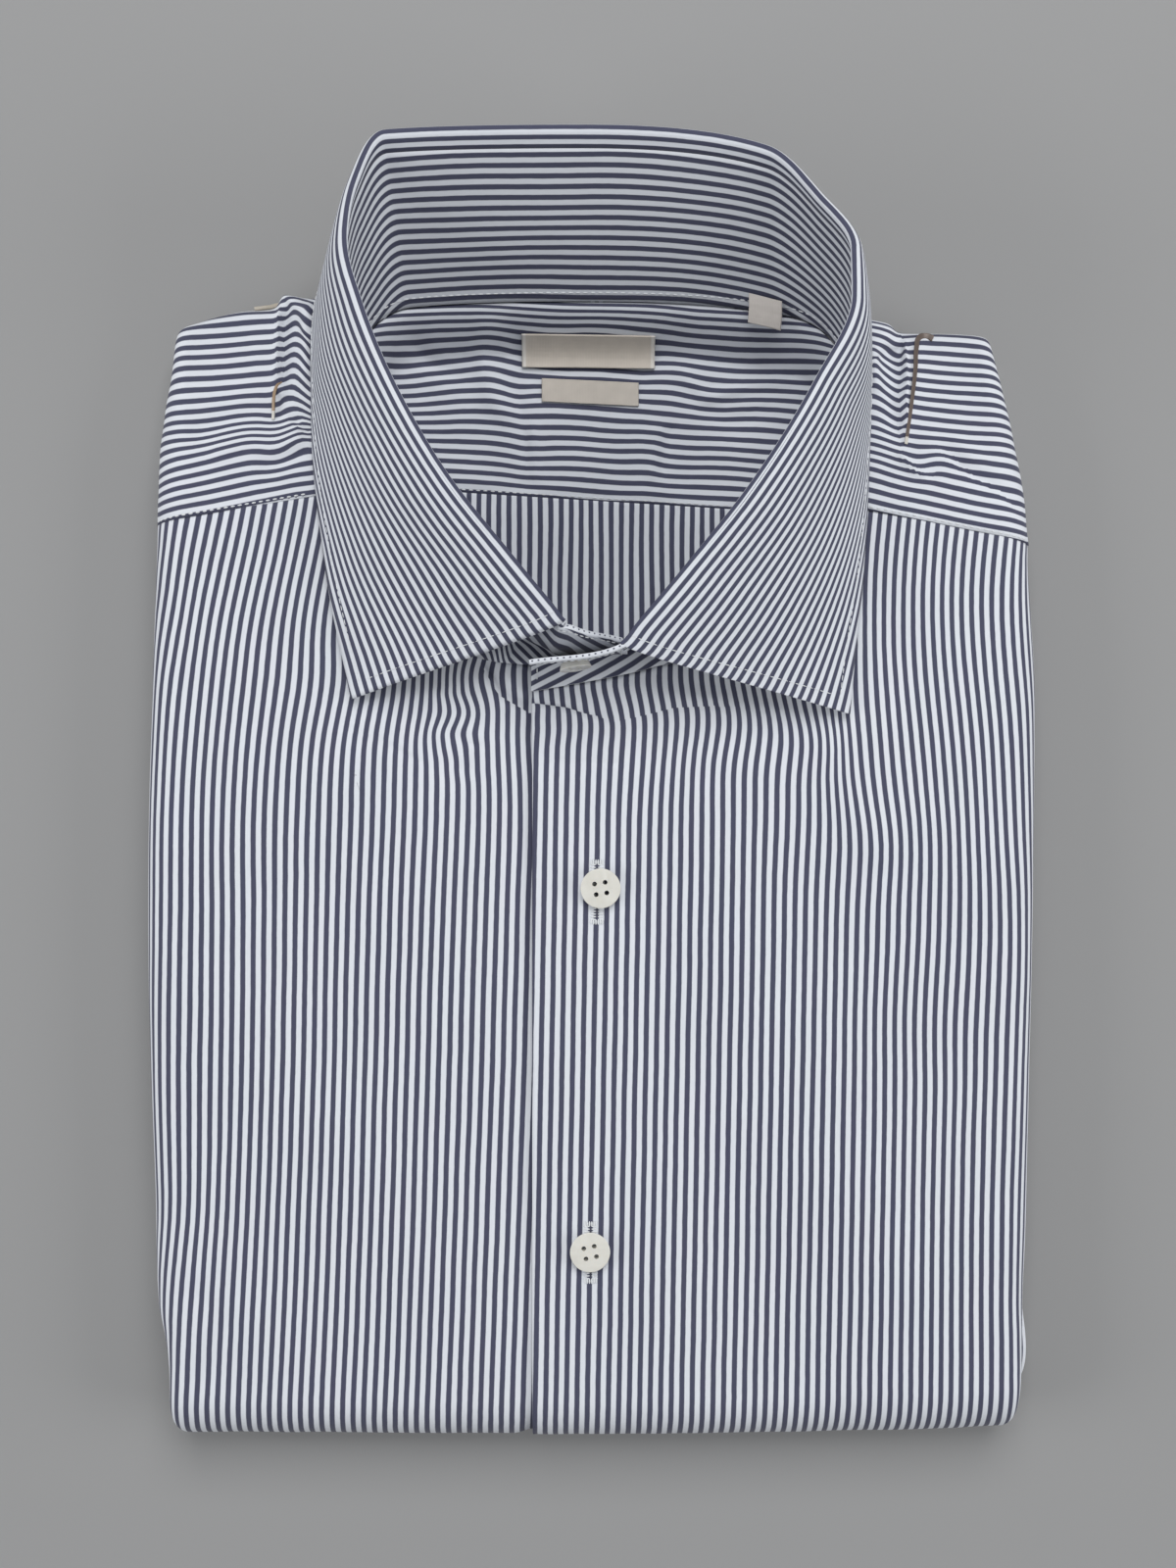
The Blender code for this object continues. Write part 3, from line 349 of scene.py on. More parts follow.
INNER_RELIEF = (
    (((-25, 130), (-30, 118), (-27, 106), (-20, 98)), 3.2, 1.2),
    (((-20, 127), (-22, 112), (-19, 100), (-17, 84)), 1.8, -0.8),
    (((-16, 100), (-15.5, 82)), 1.6, 0.7),
    (((19, 100), (16, 82)), 1.8, 0.8),
    (((22, 100), (19.5, 84)), 1.5, -0.6),
    (((24, 114), (32, 106), (46, 110), (56, 110)), 1.6, 0.8),
    (((28, 103), (40, 100), (52, 103)), 2.0, -0.6),
    (((-50, 122), (-42, 114), (-34, 112)), 2.4, -0.8),
)


STEEPEST = 2.5  # a smooth line's slope at a row, against the gentler of the slopes beside it


def hermite(start, end, start_pull, end_pull, t):
    return (
        start * (2 * t**3 - 3 * t**2 + 1)
        + start_pull * (t**3 - 2 * t**2 + t)
        + end * (3 * t**2 - 2 * t**3)
        + end_pull * (t**3 - t**2)
    )


def smooth_line(rows, columns, name, at):
    """One column of a table as a smooth line through its rows, read against the first column."""
    table = np.array(rows, float)
    x = table[:, 0]
    y = table[:, columns.index(name)]
    steps = np.diff(y) / np.diff(x)
    slopes = np.concatenate([steps[:1], (steps[:-1] + steps[1:]) / 2, steps[-1:]])
    for i, (before, after) in enumerate(zip(steps, steps[1:]), 1):
        most = STEEPEST * min(abs(before), abs(after)) if before * after > 0 else 0.0
        slopes[i] = math.copysign(min(abs(slopes[i]), most), slopes[i])
    at = np.clip(np.asarray(at, float), x[0], x[-1])
    i = np.clip(np.searchsorted(x, at) - 1, 0, len(x) - 2)
    width = x[i + 1] - x[i]
    return hermite(y[i], y[i + 1], width * slopes[i], width * slopes[i + 1], (at - x[i]) / width)


def smooth_lines(rows, columns, at):
    """Every column of a table but the first, each as a smooth line."""
    return {name: smooth_line(rows, columns, name, at) for name in columns[1:]}


def ease(t):
    t = np.clip(t, 0.0, 1.0)
    return t * t * (3 - 2 * t)


def unit(vector):
    return vector / np.maximum(np.linalg.norm(vector, axis=-1, keepdims=True), 1e-9)


def to_frame(point):
    """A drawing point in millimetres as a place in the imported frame, in metres."""
    return Vector(((point[0] - MIDDLE_X) * MM, (point[1] - MIDDLE_Y) * MM, point[2] * MM))


def surface_normals(points):
    """Normals of a grid of points, by the cross of its two directions."""
    down = np.gradient(points, axis=0)
    across = np.gradient(points, axis=1)
    return unit(np.cross(across, down))


def arc_lengths(points, axis):
    """Lengths along a grid's lines, from its first point."""
    steps = np.linalg.norm(np.diff(points, axis=axis), axis=-1)
    start = np.zeros_like(np.take(steps, [0], axis=axis))
    return np.cumsum(np.concatenate([start, steps], axis=axis), axis=axis)


def read_line(at, run, line):
    """The point at a length along a line, run being the length at each of its points."""
    return np.array([np.interp(at, run, line[:, k]) for k in range(3)])


def line_distance(x, y, points):
    """How far each place is from a line, how far along it in shares, and if on its left."""
    best = np.full(np.shape(x), 1e9)
    share = np.zeros(np.shape(x))
    left = np.zeros(np.shape(x), bool)
    spots = [np.array(p, float) for p in points]
    lengths = [np.linalg.norm(b - a) for a, b in zip(spots, spots[1:])]
    done = 0.0
    for a, b, length in zip(spots, spots[1:], lengths):
        step_x, step_y = b - a
        t = np.clip(((x - a[0]) * step_x + (y - a[1]) * step_y) / length**2, 0, 1)
        far = np.hypot(x - a[0] - t * step_x, y - a[1] - t * step_y)
        nearer = far < best
        best = np.where(nearer, far, best)
        share = np.where(nearer, (done + t * length) / sum(lengths), share)
        left = np.where(nearer, step_x * (y - a[1]) > step_y * (x - a[0]), left)
        done += length
    return best, share, left


CREASE_END = 0.22  # share of a crease's length over which it fades at either end
CREASE_TIP = 0.15  # how far into that fade its very ends are


def relief(x, y, creases):
    """Height of the cloth over its plain form: each crease fades towards its ends. A fourth
    value in its row is its width on the left, as seen when going along it."""
    height = np.zeros(np.shape(x))
    for points, width, size, *left_width in creases:
        far, share, left = line_distance(x, y, points)
        start, end = (ease(part / CREASE_END + CREASE_TIP) for part in (share, 1 - share))
        reach = np.where(left, left_width[0] if left_width else width, width)
        height += size * start * end * np.exp(-((far / reach) ** 2))
    return height


def pulled(x, y, pulls):
    """How far the stripes are pulled along the pull direction at each place."""
    shift = np.zeros(np.shape(x))
    for middle_x, middle_y, reach_x, reach_y, size in pulls:
        away = ((x - middle_x) / reach_x) ** 2 + ((y - middle_y) / reach_y) ** 2
        shift += size * np.exp(-away)
    return shift


def slips(places, judged, rows):
    """How far the stripes break aside at each crease: one way on the left of its line, another
    on its right. judged are the places that decide the side."""
    shift = np.zeros(places[0].shape)
    for points, reach, *sides in rows:
        far, share, _ = line_distance(*places, points)
        left = line_distance(*judged, points)[2]
        sizes = [np.interp(share, np.linspace(0, 1, len(row)), row) for row in sides]
        shift += np.where(left, *sizes) * np.exp(-((far / reach) ** 2))
    return shift


def corner_slips(x, y, rows):
    """The same for the four corners of each face, each face being wholly on one side."""
    corners = [
        np.stack([v[:-1, :-1], v[:-1, 1:], v[1:, 1:], v[1:, :-1]], axis=-1) for v in (x, y)
    ]
    return slips(corners, [v.mean(axis=-1, keepdims=True) for v in corners], rows)


CREASE_LEAD_IN, CREASE_LEAD_OUT = 8.0, 14.0  # how far beyond its ends a row leaves a crease


def follow_crease(x, rows_y, crease, row, reach):
    """Rows moved a little, so that one of them runs along a crease. The top row stays."""
    line_x, line_y = np.array(crease, float).T
    near = ease((x - line_x[0]) / CREASE_LEAD_IN + 1) * ease((line_x[-1] - x) / CREASE_LEAD_OUT + 1)
    on_row = rows_y[row]
    move = (np.interp(x[row], line_x, line_y) - on_row) * near[row]
    above = np.clip((rows_y[0] - rows_y) / (rows_y[0] - on_row), 0, 1)
    below = 1 - ease((on_row - rows_y) / reach)
    return rows_y + move * np.minimum(above, below)


def ripple(x, y, reach_x, reach_y, seed):
    """Slow unevenness, from -1 to 1."""
    flat = [
        noise.noise(Vector((a / reach_x + seed, b / reach_y, seed * 1.7)))
        for a, b in zip(np.ravel(x), np.ravel(y))
    ]
    return np.array(flat).reshape(np.shape(x))


def ripples(x, y, rows, seed_step=0.0):
    """Several ripples together: the reach each way, the seed and the size of each."""
    return sum(
        ripple(x, y, reach_x, reach_y, seed + seed_step) * size
        for reach_x, reach_y, seed, size in rows
    )


# ---------------------------------------------------------------- meshes and pieces


def add_object(name, data):
    made = bpy.data.objects.new(name, data)
    bpy.context.scene.collection.objects.link(made)
    return made


def select_only(made, *others):
    bpy.ops.object.select_all(action="DESELECT")
    for piece in (made, *others):
        piece.select_set(True)
    bpy.context.view_layer.objects.active = made


def copied(made):
    """A copy with its own mesh."""
    return add_object(made.name, made.data.copy())


def grid_faces(rows, columns, turned):
    corner = (np.arange(rows - 1)[:, None] * columns + np.arange(columns - 1)[None, :]).ravel()
    faces = np.stack([corner, corner + 1, corner + columns + 1, corner + columns], axis=1)
    return faces[:, ::-1] if turned else faces


def cloth_sheet(name, points, weave, wall, turned=False, breaks=None):
    """A cloth wall from a grid of outer points. weave holds each point's place on the cloth:
    across the stripes and along them, in millimetres. breaks moves the stripes of each face."""
    faces = grid_faces(*points.shape[:2], turned)
    mesh = bpy.data.meshes.new(name)
    placed = (points.reshape(-1, 3) - np.array([MIDDLE_X, MIDDLE_Y, 0.0])) * MM
    mesh.from_pydata([tuple(p) for p in placed.tolist()], [], faces.tolist())
    uv = mesh.uv_layers.new(name="weave")
    placed_weave = weave.reshape(-1, 2)[faces]
    if breaks is not None:
        moved = breaks.reshape(-1, 4)
        placed_weave[..., 0] += moved[:, ::-1] if turned else moved
    uv.data.foreach_set("uv", (placed_weave * MM).ravel())
    made = add_object(name, mesh)
    mesh.shade_smooth()
    solidify = made.modifiers.new("ply", "SOLIDIFY")
    solidify.thickness = wall * MM
    solidify.offset = -1.0
    solidify.use_quality_normals = True
    return made


def finish_piece(made, material, node=None):
    made.data.materials.clear()
    made.data.materials.append(material)
    if node:
        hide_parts(node)
    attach(made, "root")
    return made


def finish_cloth(made, node, material):
    finish_piece(made, material, node)
    return made


# ---------------------------------------------------------------- materials


NAVY = (0.056, 0.059, 0.097)
WHITE = (0.640, 0.663, 0.708)


def rgba(colour, share=1.0):
    return tuple(min(c * share, 1.0) for c in colour) + (1.0,)


class Finish:
    """A finish being made: its nodes and links, and the shader that they lead to."""

    def __init__(self, name):
        self.material = bpy.data.materials.new(name)
        self.material.use_nodes = True
        self.nodes = self.material.node_tree.nodes
        self.links = self.material.node_tree.links

    def feed(self, node, inputs):
        """Inputs by name or number: another node's output is linked, a value is set."""
        for name, value in inputs.items():
            if isinstance(value, bpy.types.NodeSocket):
                self.links.new(value, node.inputs[name])
            else:
                node.inputs[name].default_value = value
        return node

    def node(self, kind, inputs, **settings):
        made = self.nodes.new("ShaderNode" + kind)
        for name, value in settings.items():
            setattr(made, name, value)
        return self.feed(made, inputs)

    def on_object(self):
        return self.node("TexCoord", {}).outputs["Object"]

    def on_weave(self):
        return self.node("UVMap", {}, uv_map="weave").outputs["UV"]

    def split(self, place):
        """Across and along."""
        return self.node("SeparateXYZ", {0: place}).outputs[:2]

    def sum(self, operation, *values):
        return self.node("Math", dict(enumerate(values)), operation=operation).outputs[0]

    def waves(self, along, length):
        """A sine along one direction, from crest to crest in millimetres."""
        return self.sum("SINE", self.sum("MULTIPLY", along, 2 * math.pi / (length * MM)))

    def noise(self, place, scale, **more):
        inputs = {"Vector": place, "Scale": scale, **more}
        return self.node("TexNoise", inputs).outputs["Fac"]

    def mix(self, factor, a, b, **settings):
        inputs = {"Factor": factor, "A": a, "B": b}
        return self.node("Mix", inputs, data_type="RGBA", **settings).outputs["Result"]

    def band(self, value, start, end, top=1.0):
        inputs = {"Value": value, "From Min": start, "From Max": end, "To Max": top}
        return self.node("MapRange", inputs, interpolation_type="SMOOTHSTEP").outputs["Result"]

    def done(self, colour, surface, bump=None):
        """The finished material. bump holds a height, its strength and its depth in metres."""
        shader = self.feed(self.nodes["Principled BSDF"], {"Base Color": colour, **surface})
        if bump:
            height, strength, depth = bump
            inputs = {"Height": height, "Strength": strength, "Distance": depth}
            self.feed(shader, {"Normal": self.node("Bump", inputs).outputs["Normal"]})
        return self.material


STRIPE_EDGE = 0.10  # share of the pitch over which navy turns to white
YARN_WANDER = 0.00016  # metres that the dyed yarns wander along their length, from side to side
THREAD_PITCH = 0.34  # plain weave: a thread every third of a millimetre each way


def striped_cotton(name, shade=1.0, pale=0.0, on_object=False):
    """Poplin with equal navy and white stripes across the weave map's first direction.
    pale takes the navy out, as on a turned edge of the white ground."""
    look = Finish(name)
    place = look.on_object() if on_object else look.on_weave()
    across, along = look.split(place)
    wander = look.noise(place, 260.0, Detail=2.0)
    drift = look.sum("MULTIPLY_ADD", wander, YARN_WANDER, -YARN_WANDER / 2)
    count = look.sum("MULTIPLY_ADD", look.sum("ADD", across, drift), 1.0 / (PITCH * MM), 0.0)
    from_middle = look.sum("ABSOLUTE", look.sum("SUBTRACT", look.sum("FRACT", count), 0.5))
    band = look.band(from_middle, 0.25 - STRIPE_EDGE / 2, 0.25 + STRIPE_EDGE / 2, 1.0 - pale)
    # Fine yarns both ways, and slow cloudiness of the dye.
    yarns = look.node("Mapping", {"Vector": place, "Scale": (5200.0, 420.0, 420.0)})
    slub = look.noise(yarns.outputs["Vector"], 1.0, Detail=1.0)
    cloud = look.noise(place, 55.0, Detail=3.0)
    # shade darkens both colours, for copies of the cloth that carry painted shade.
    navy = look.mix(slub, rgba(NAVY, 0.86 * shade), rgba(NAVY, 1.18 * shade))
    white = look.mix(cloud, rgba(WHITE, 0.95 * shade), rgba(WHITE, 1.04 * shade))
    weave = look.sum("MULTIPLY", look.waves(across, THREAD_PITCH), look.waves(along, THREAD_PITCH))
    grain = look.sum("MULTIPLY_ADD", slub, 1.6, weave)
    surface = {"Roughness": 0.82, "Specular IOR Level": 0.25,
               "Sheen Weight": 0.12, "Sheen Roughness": 0.45}
    return look.done(look.mix(band, white, navy), surface, (grain, 0.22, 0.00006))


def twisted_thread(name, colour):
    """Sewing thread with a fine twist."""
    look = Finish(name)
    inputs = {"Vector": look.on_object(), "Scale": 900.0, "Distortion": 2.0}
    twist = look.node("TexWave", inputs).outputs["Fac"]
    tone = look.mix(twist, rgba(colour, 0.82), rgba(colour))
    return look.done(tone, {"Roughness": 0.6, "Sheen Weight": 0.2}, (twist, 0.3, 0.00005))


def cut_shadow():
    """The frayed dark inside of a cut buttonhole."""
    look = Finish("buttonhole_cut")
    fray = look.noise(look.on_object(), 1800.0)
    # The slit's darkness is painted shade, frayed by noise.
    tone = look.mix(fray, rgba((0.03, 0.03, 0.045)), rgba((0.10, 0.10, 0.13)))
    return look.done(tone, {"Roughness": 0.9})


def pearl_plastic():
    """Cream polyester with a faint pearly swirl."""
    look = Finish("button_pearl")
    place = look.on_object()
    swirl = look.noise(place, 160.0, Detail=4.0, Distortion=1.6)
    tone = look.mix(swirl, rgba((0.56, 0.545, 0.49)), rgba((0.72, 0.71, 0.66)))
    surface = {"Roughness": 0.26, "Coat Weight": 0.35, "Coat Roughness": 0.12,
               "Subsurface Weight": 0.12, "Subsurface Radius": (0.0015, 0.0012, 0.0009)}
    return look.done(tone, surface, (look.noise(place, 2200.0), 0.08, 0.00003))


def woven_tape(name, colour, end_colour, half_width):
    """Taffeta label ribbon: fine ribs across, paler where its ends are turned and sewn."""
    look = Finish(name)
    place = look.on_weave()
    across, along = look.split(place)
    ribs = look.waves(along, 0.30)
    weave = look.sum("MULTIPLY_ADD", look.waves(across, 0.42), 0.4, ribs)
    tone = look.mix(look.noise(place, 300.0), rgba(colour, 0.9), rgba(colour, 1.1))
    from_middle = look.sum("ABSOLUTE", across)
    band = look.band(from_middle, (half_width - 1.3) * MM, (half_width - 0.9) * MM)
    ends = look.mix(band, tone, rgba(end_colour))
    return look.done(ends, {"Roughness": 0.55, "Sheen Weight": 0.2}, (weave, 0.35, 0.00005))


CLIP_REACH = 200.0  # millimetres up the shirt that a clip's colour bands are counted in


def clip_finish(name, bands, roughness, metallic):
    """Clip finish in bands of colour up the shirt, each from a height in millimetres."""
    look = Finish(name)
    place = look.on_object()
    streak = look.noise(place, 500.0)
    along = look.split(place)[1]
    height = look.sum("MULTIPLY_ADD", along, 1 / (CLIP_REACH * MM), MIDDLE_Y / CLIP_REACH)
    ramp = look.node("ValToRGB", {"Fac": height})
    stops = ramp.color_ramp.elements
    ramp.color_ramp.interpolation = "CONSTANT"
    for k, (start, colour) in enumerate(bands):
        stop = stops[0] if k == 0 else stops.new(start / CLIP_REACH)
        stop.color = rgba(colour)
    stops.remove(stops[-1])
    dulled = rgba((0.72, 0.70, 0.68))
    tone = look.mix(streak, ramp.outputs["Color"], dulled, blend_type="MULTIPLY")
    return look.done(tone, {"Roughness": roughness, "Metallic": metallic})


# ---------------------------------------------------------------- the collar's lines


def collar_point(at, line):
    columns = [f"{line}_{axis}" for axis in "xyz"]
    return np.stack([smooth_line(COLLAR_LINES, COLLAR_COLUMNS, n, at) for n in columns], axis=-1)


def collar_frame(at):
    """At each station: the neck seam, the roll line, the way up between them and the way out."""
    at = np.asarray(at, float)
    base = collar_point(at, "base")
    fold = collar_point(at, "fold")
    up = unit(fold - base)
    along = unit(collar_point(at + 1, "fold") - collar_point(at - 1, "fold"))
    return base, fold, up, unit(np.cross(up, along))


# Where each shoulder seam starts at the neck and ends at the folded edge.
NECK_LEFT = collar_point(YOKE_LINES[0][1], "base")
NECK_RIGHT = collar_point(YOKE_LINES[-1][1], "base")
SHOULDER_LEFT = YOKE_LINES[0][2:4]
SHOULDER_RIGHT = YOKE_LINES[-1][2:4]


def shoulder_seam_y(x):
    left, right = (
        np.interp(x, [a[0], b[0]], [a[1], b[1]])
        for a, b in ((SHOULDER_LEFT, NECK_LEFT), (NECK_RIGHT, SHOULDER_RIGHT))
    )
    return np.where(np.asarray(x) < 0, left, right)


def front_top(x, side):
    """Where a front ends at the top, and its height there: neck seam inside, shoulder seam out."""
    last, corner = (YOKE_LINES[0][1], NECK_LEFT) if side < 0 else (YOKE_LINES[-1][1], NECK_RIGHT)
    neck = collar_point(np.linspace(side * 220, last, 160), "base")
    neck = neck[np.argsort(neck[:, 0])]
    y = np.interp(x, neck[:, 0], neck[:, 1])
    z = np.interp(x, neck[:, 0], neck[:, 2]) - GAP - 0.05
    outside = side * x > side * corner[0] - 1.0
    return np.where(outside, shoulder_seam_y(x) - SEAM_GAP, y), np.where(outside, PACK, z)


# ---------------------------------------------------------------- fronts


# columns: even shares over the face, and where they go. corner: how far the bottom fold rises to
# the corner, and over what length. crease: the line that a row of the mesh runs along.
FRONTS = {
    -1: dict(
        name="left_front", node="front_left", edge="left_x", start=PLACKET_X + UNDERLAP,
        flat=(0.152, 0.50), columns=((0, 1), (0, 1)), corner=(0.9, 97),
        pulls=LEFT_PULLS, spread=LEFT_SPREAD, relief=LEFT_RELIEF, slips=LEFT_SLIPS,
        crease=LEFT_SLIPS[0][0],
    ),
    1: dict(
        name="right_front", node="front_right", edge="right_x", start=PLACKET_X,
        flat=(0.149, 0.50), columns=((0, 0.42, 1), (0, 0.30, 1)), corner=(4.0, 131),
        pulls=RIGHT_PULLS, spread=RIGHT_SPREAD, relief=RIGHT_RELIEF, slips=RIGHT_SLIPS,
        crease=RIGHT_SLIPS[0][0] + RIGHT_SLIPS[1][0][1:4],
    ),
}
FACE_ROWS, FOLD_ROWS, FLAP_ROWS = 215, 26, 60
FACE_COLUMNS, ROLL_COLUMNS = 96, 14
# Rows lie closer near the neck, where the creases are: even shares, and where they go.
ROW_SHARES = (0, 0.12, 0.58, 1), (0, 0.12, 0.36, 1)
EDGE_READ_Y = 75.0  # the sides' outline is read from here down
BOTTOM_LOW_X = -16.0  # where the bottom fold is lowest
BOTTOM_RISE_Y, BOTTOM_RISE_OVER = -100.0, 60.0  # where its rise starts, and over what length
ROLL_TILT = 0.9  # how far the outward way turns to the side on the rolled edge
CREASE_ROW_AT = 20  # the column that picks the row which runs along the crease
CREASE_REACH = 16.0
NECK_DIP = 18.0  # how far below its top edge a front rises to it
SWELL_FROM, SWELL_OVER = 20.0, 80.0  # the cloth swells more and more outside this
# Swells away from the placket, and fine ones all over: reach each way, seed and height.
FRONT_SWELLS = ((16, 60, 3.0, 0.45), (34, 40, 9.0, 0.35))
FRONT_FINE = (7, 30, 15.0, 0.10)
FRONT_DRIFT = (9, 15, 33.0, 0.10)


def bottom_line(x):
    """How far the bottom fold rises towards its corners."""
    left, right = (
        rise * ((x - BOTTOM_LOW_X) / over) ** 2
        for rise, over in (FRONTS[-1]["corner"], FRONTS[1]["corner"])
    )
    return np.where(x < BOTTOM_LOW_X, left, right)


def front_grid(side):
    """Points of one front, the outward way at each, and their place on the flat cloth."""
    own = FRONTS[side]
    radius = PACK / 2
    fold_y = BOTTOM_Y + radius
    down = np.concatenate([
        np.linspace(0, 1, FACE_ROWS),
        np.linspace(0, 1, FOLD_ROWS + 1)[1:] + 1,
        np.linspace(0, 1, FLAP_ROWS + 1)[1:] + 2,
    ])
    down[:FACE_ROWS] = np.interp(down[:FACE_ROWS], *ROW_SHARES)
    face = np.clip(down, 0, 1)
    turn = np.clip(down - 1, 0, 1) * math.pi
    flap = np.clip(down - 2, 0, 1)
    read_y = EDGE_READ_Y + (fold_y - EDGE_READ_Y) * face - radius * np.sin(turn)
    sides = smooth_lines(FRONT_LINES, FRONT_COLUMNS, read_y)
    turned = ease(turn / math.pi)
    half = np.abs(sides[own["edge"]])
    roll = sides["roll_radius"] + (FLAP_ROLL[0] - sides["roll_radius"]) * turned
    angle = sides["roll_angle"] + (FLAP_ROLL[1] - sides["roll_angle"]) * turned
    t = np.interp(np.linspace(0, 1, FACE_COLUMNS), *own["columns"])
    share = np.linspace(0, 1, ROLL_COLUMNS + 1)[1:]
    x_face = own["start"] + (side * (half - roll) - own["start"])[:, None] * t[None, :]
    spin = np.radians(angle)[:, None] * share[None, :]
    x_roll = side * ((half - roll)[:, None] + roll[:, None] * np.sin(spin))
    x = np.concatenate([x_face, x_roll], axis=1)
    depth = np.concatenate([np.zeros_like(x_face), roll[:, None] * (1 - np.cos(spin))], axis=1)
    sway = np.concatenate([np.zeros_like(x_face), np.sin(spin)], axis=1)
    across = np.concatenate([x_face, x_face[:, -1:] + side * roll[:, None] * spin], axis=1)
    y_top, z_top = front_top(x, side)
    level = np.zeros_like(x)
    if side < 0:
        level = GAP + (1 - ease((PLACKET_X - x) / UNDERLAP_RISE)) * UNDERLAP_DROP
    face_y = y_top + (fold_y - y_top) * face[:, None]
    crease_y = np.mean([y for _, y in own["crease"]])
    crease_row = np.abs(face_y[:, CREASE_ROW_AT] - crease_y).argmin()
    face_y = follow_crease(x, face_y, own["crease"], crease_row, CREASE_REACH)
    lift = (z_top - (PACK - level)) * (1 - ease((y_top - face_y) / NECK_DIP))
    reach = radius - level
    sin, cos = np.sin(turn)[:, None], np.cos(turn)[:, None]
    over = (turn > 0)[:, None]
    along_flap = flap[:, None] * (FLAP_END_Y - fold_y)
    y = np.where(over, fold_y - reach * sin, face_y) + along_flap
    z = np.where(over, radius + reach * cos, PACK - level + lift)
    depth_y, depth_z = np.where(over, sin, 0.0), np.where(over, -cos, -1.0)
    rise = bottom_line(x) * ease((BOTTOM_RISE_Y - y) / BOTTOM_RISE_OVER)
    rise = rise * (1 - turn / math.pi)[:, None]
    y = y + depth_y * depth + rise
    z = z + depth_z * depth
    points = np.stack([x, y, z], axis=-1)
    upright = 1 - sway * ROLL_TILT
    out = np.stack([side * sway, -depth_y * upright, -depth_z * upright], axis=-1)
    flat_y = np.where(over, fold_y - radius * turn[:, None], face_y) - along_flap
    return points, unit(out), across, flat_y


def front(side, material):
    own = FRONTS[side]
    points, out, across, flat_y = front_grid(side)
    outward = np.clip((side * across - SWELL_FROM) / SWELL_OVER, 0, 1)
    height = relief(across, flat_y, own["relief"])
    height += ripples(across, flat_y, FRONT_SWELLS, side) * outward
    height += ripples(across, flat_y, [FRONT_FINE], side)
    near_bottom = ease((flat_y - BOTTOM_Y + 30) / 40) * 0.6 + 0.4
    points = points + out * (height * near_bottom)[..., None]
    middle, up = own["spread"]
    shift = pulled(across, flat_y, own["pulls"])
    shift += middle + up * np.maximum(flat_y, BOTTOM_Y) / 100
    shift += ripples(across, flat_y, [FRONT_DRIFT], side)
    weave = np.stack([side * (across - PLACKET_X - shift), -flat_y], axis=-1)
    breaks = -side * corner_slips(across, flat_y, own["slips"])
    made = cloth_sheet(own["name"], points, weave, CLOTH, side > 0, breaks)
    return finish_cloth(made, own["node"], material)


# ---------------------------------------------------------------- yoke and back


# How many rays lie between these of the yoke's lines: closer where the shoulders are pleated.
YOKE_RAYS = ((0, 7, 70), (7, 9, 34), (9, 21, 70), (21, 23.4, 36), (23.4, 30, 66))
YOKE_STEPS = 34, 30, 12  # over the top, round the fold and under
YOKE_NECK_OUT, YOKE_NECK_DOWN = 0.7, 0.5  # from the neck seam to where the yoke starts
YOKE_NECK_LEAN = 1.4  # further down where the band leans out over it
SHORT_LINE, SHORT_OVER = 30.0, 26.0  # lines shorter than this turn straight back, more and more
SHORT_TURN = 4.0
YOKE_SAG = 0.6  # share of its fall that the yoke eases into
LIP_TURN = 150.0  # degrees that the folded edge turns, where it doesn't go under flat
SEAM_SLOPES = 0.21, -0.22  # of the left and right shoulder seams
YOKE_NECK_FADE = 0.12  # share of the yoke's lines over which its creases fade in
YOKE_SWELL = (26, 10, 41.0, 0.35)
YOKE_DRIFT = (22, 12, 47.0, 0.5)
LEFT_PULL_FROM, LEFT_PULL_OVER = 98.0, 30.0
NECK_LOW_X, NECK_HIGH_X = 55.0, 75.0  # between these, each way, the neck's part gives way to them


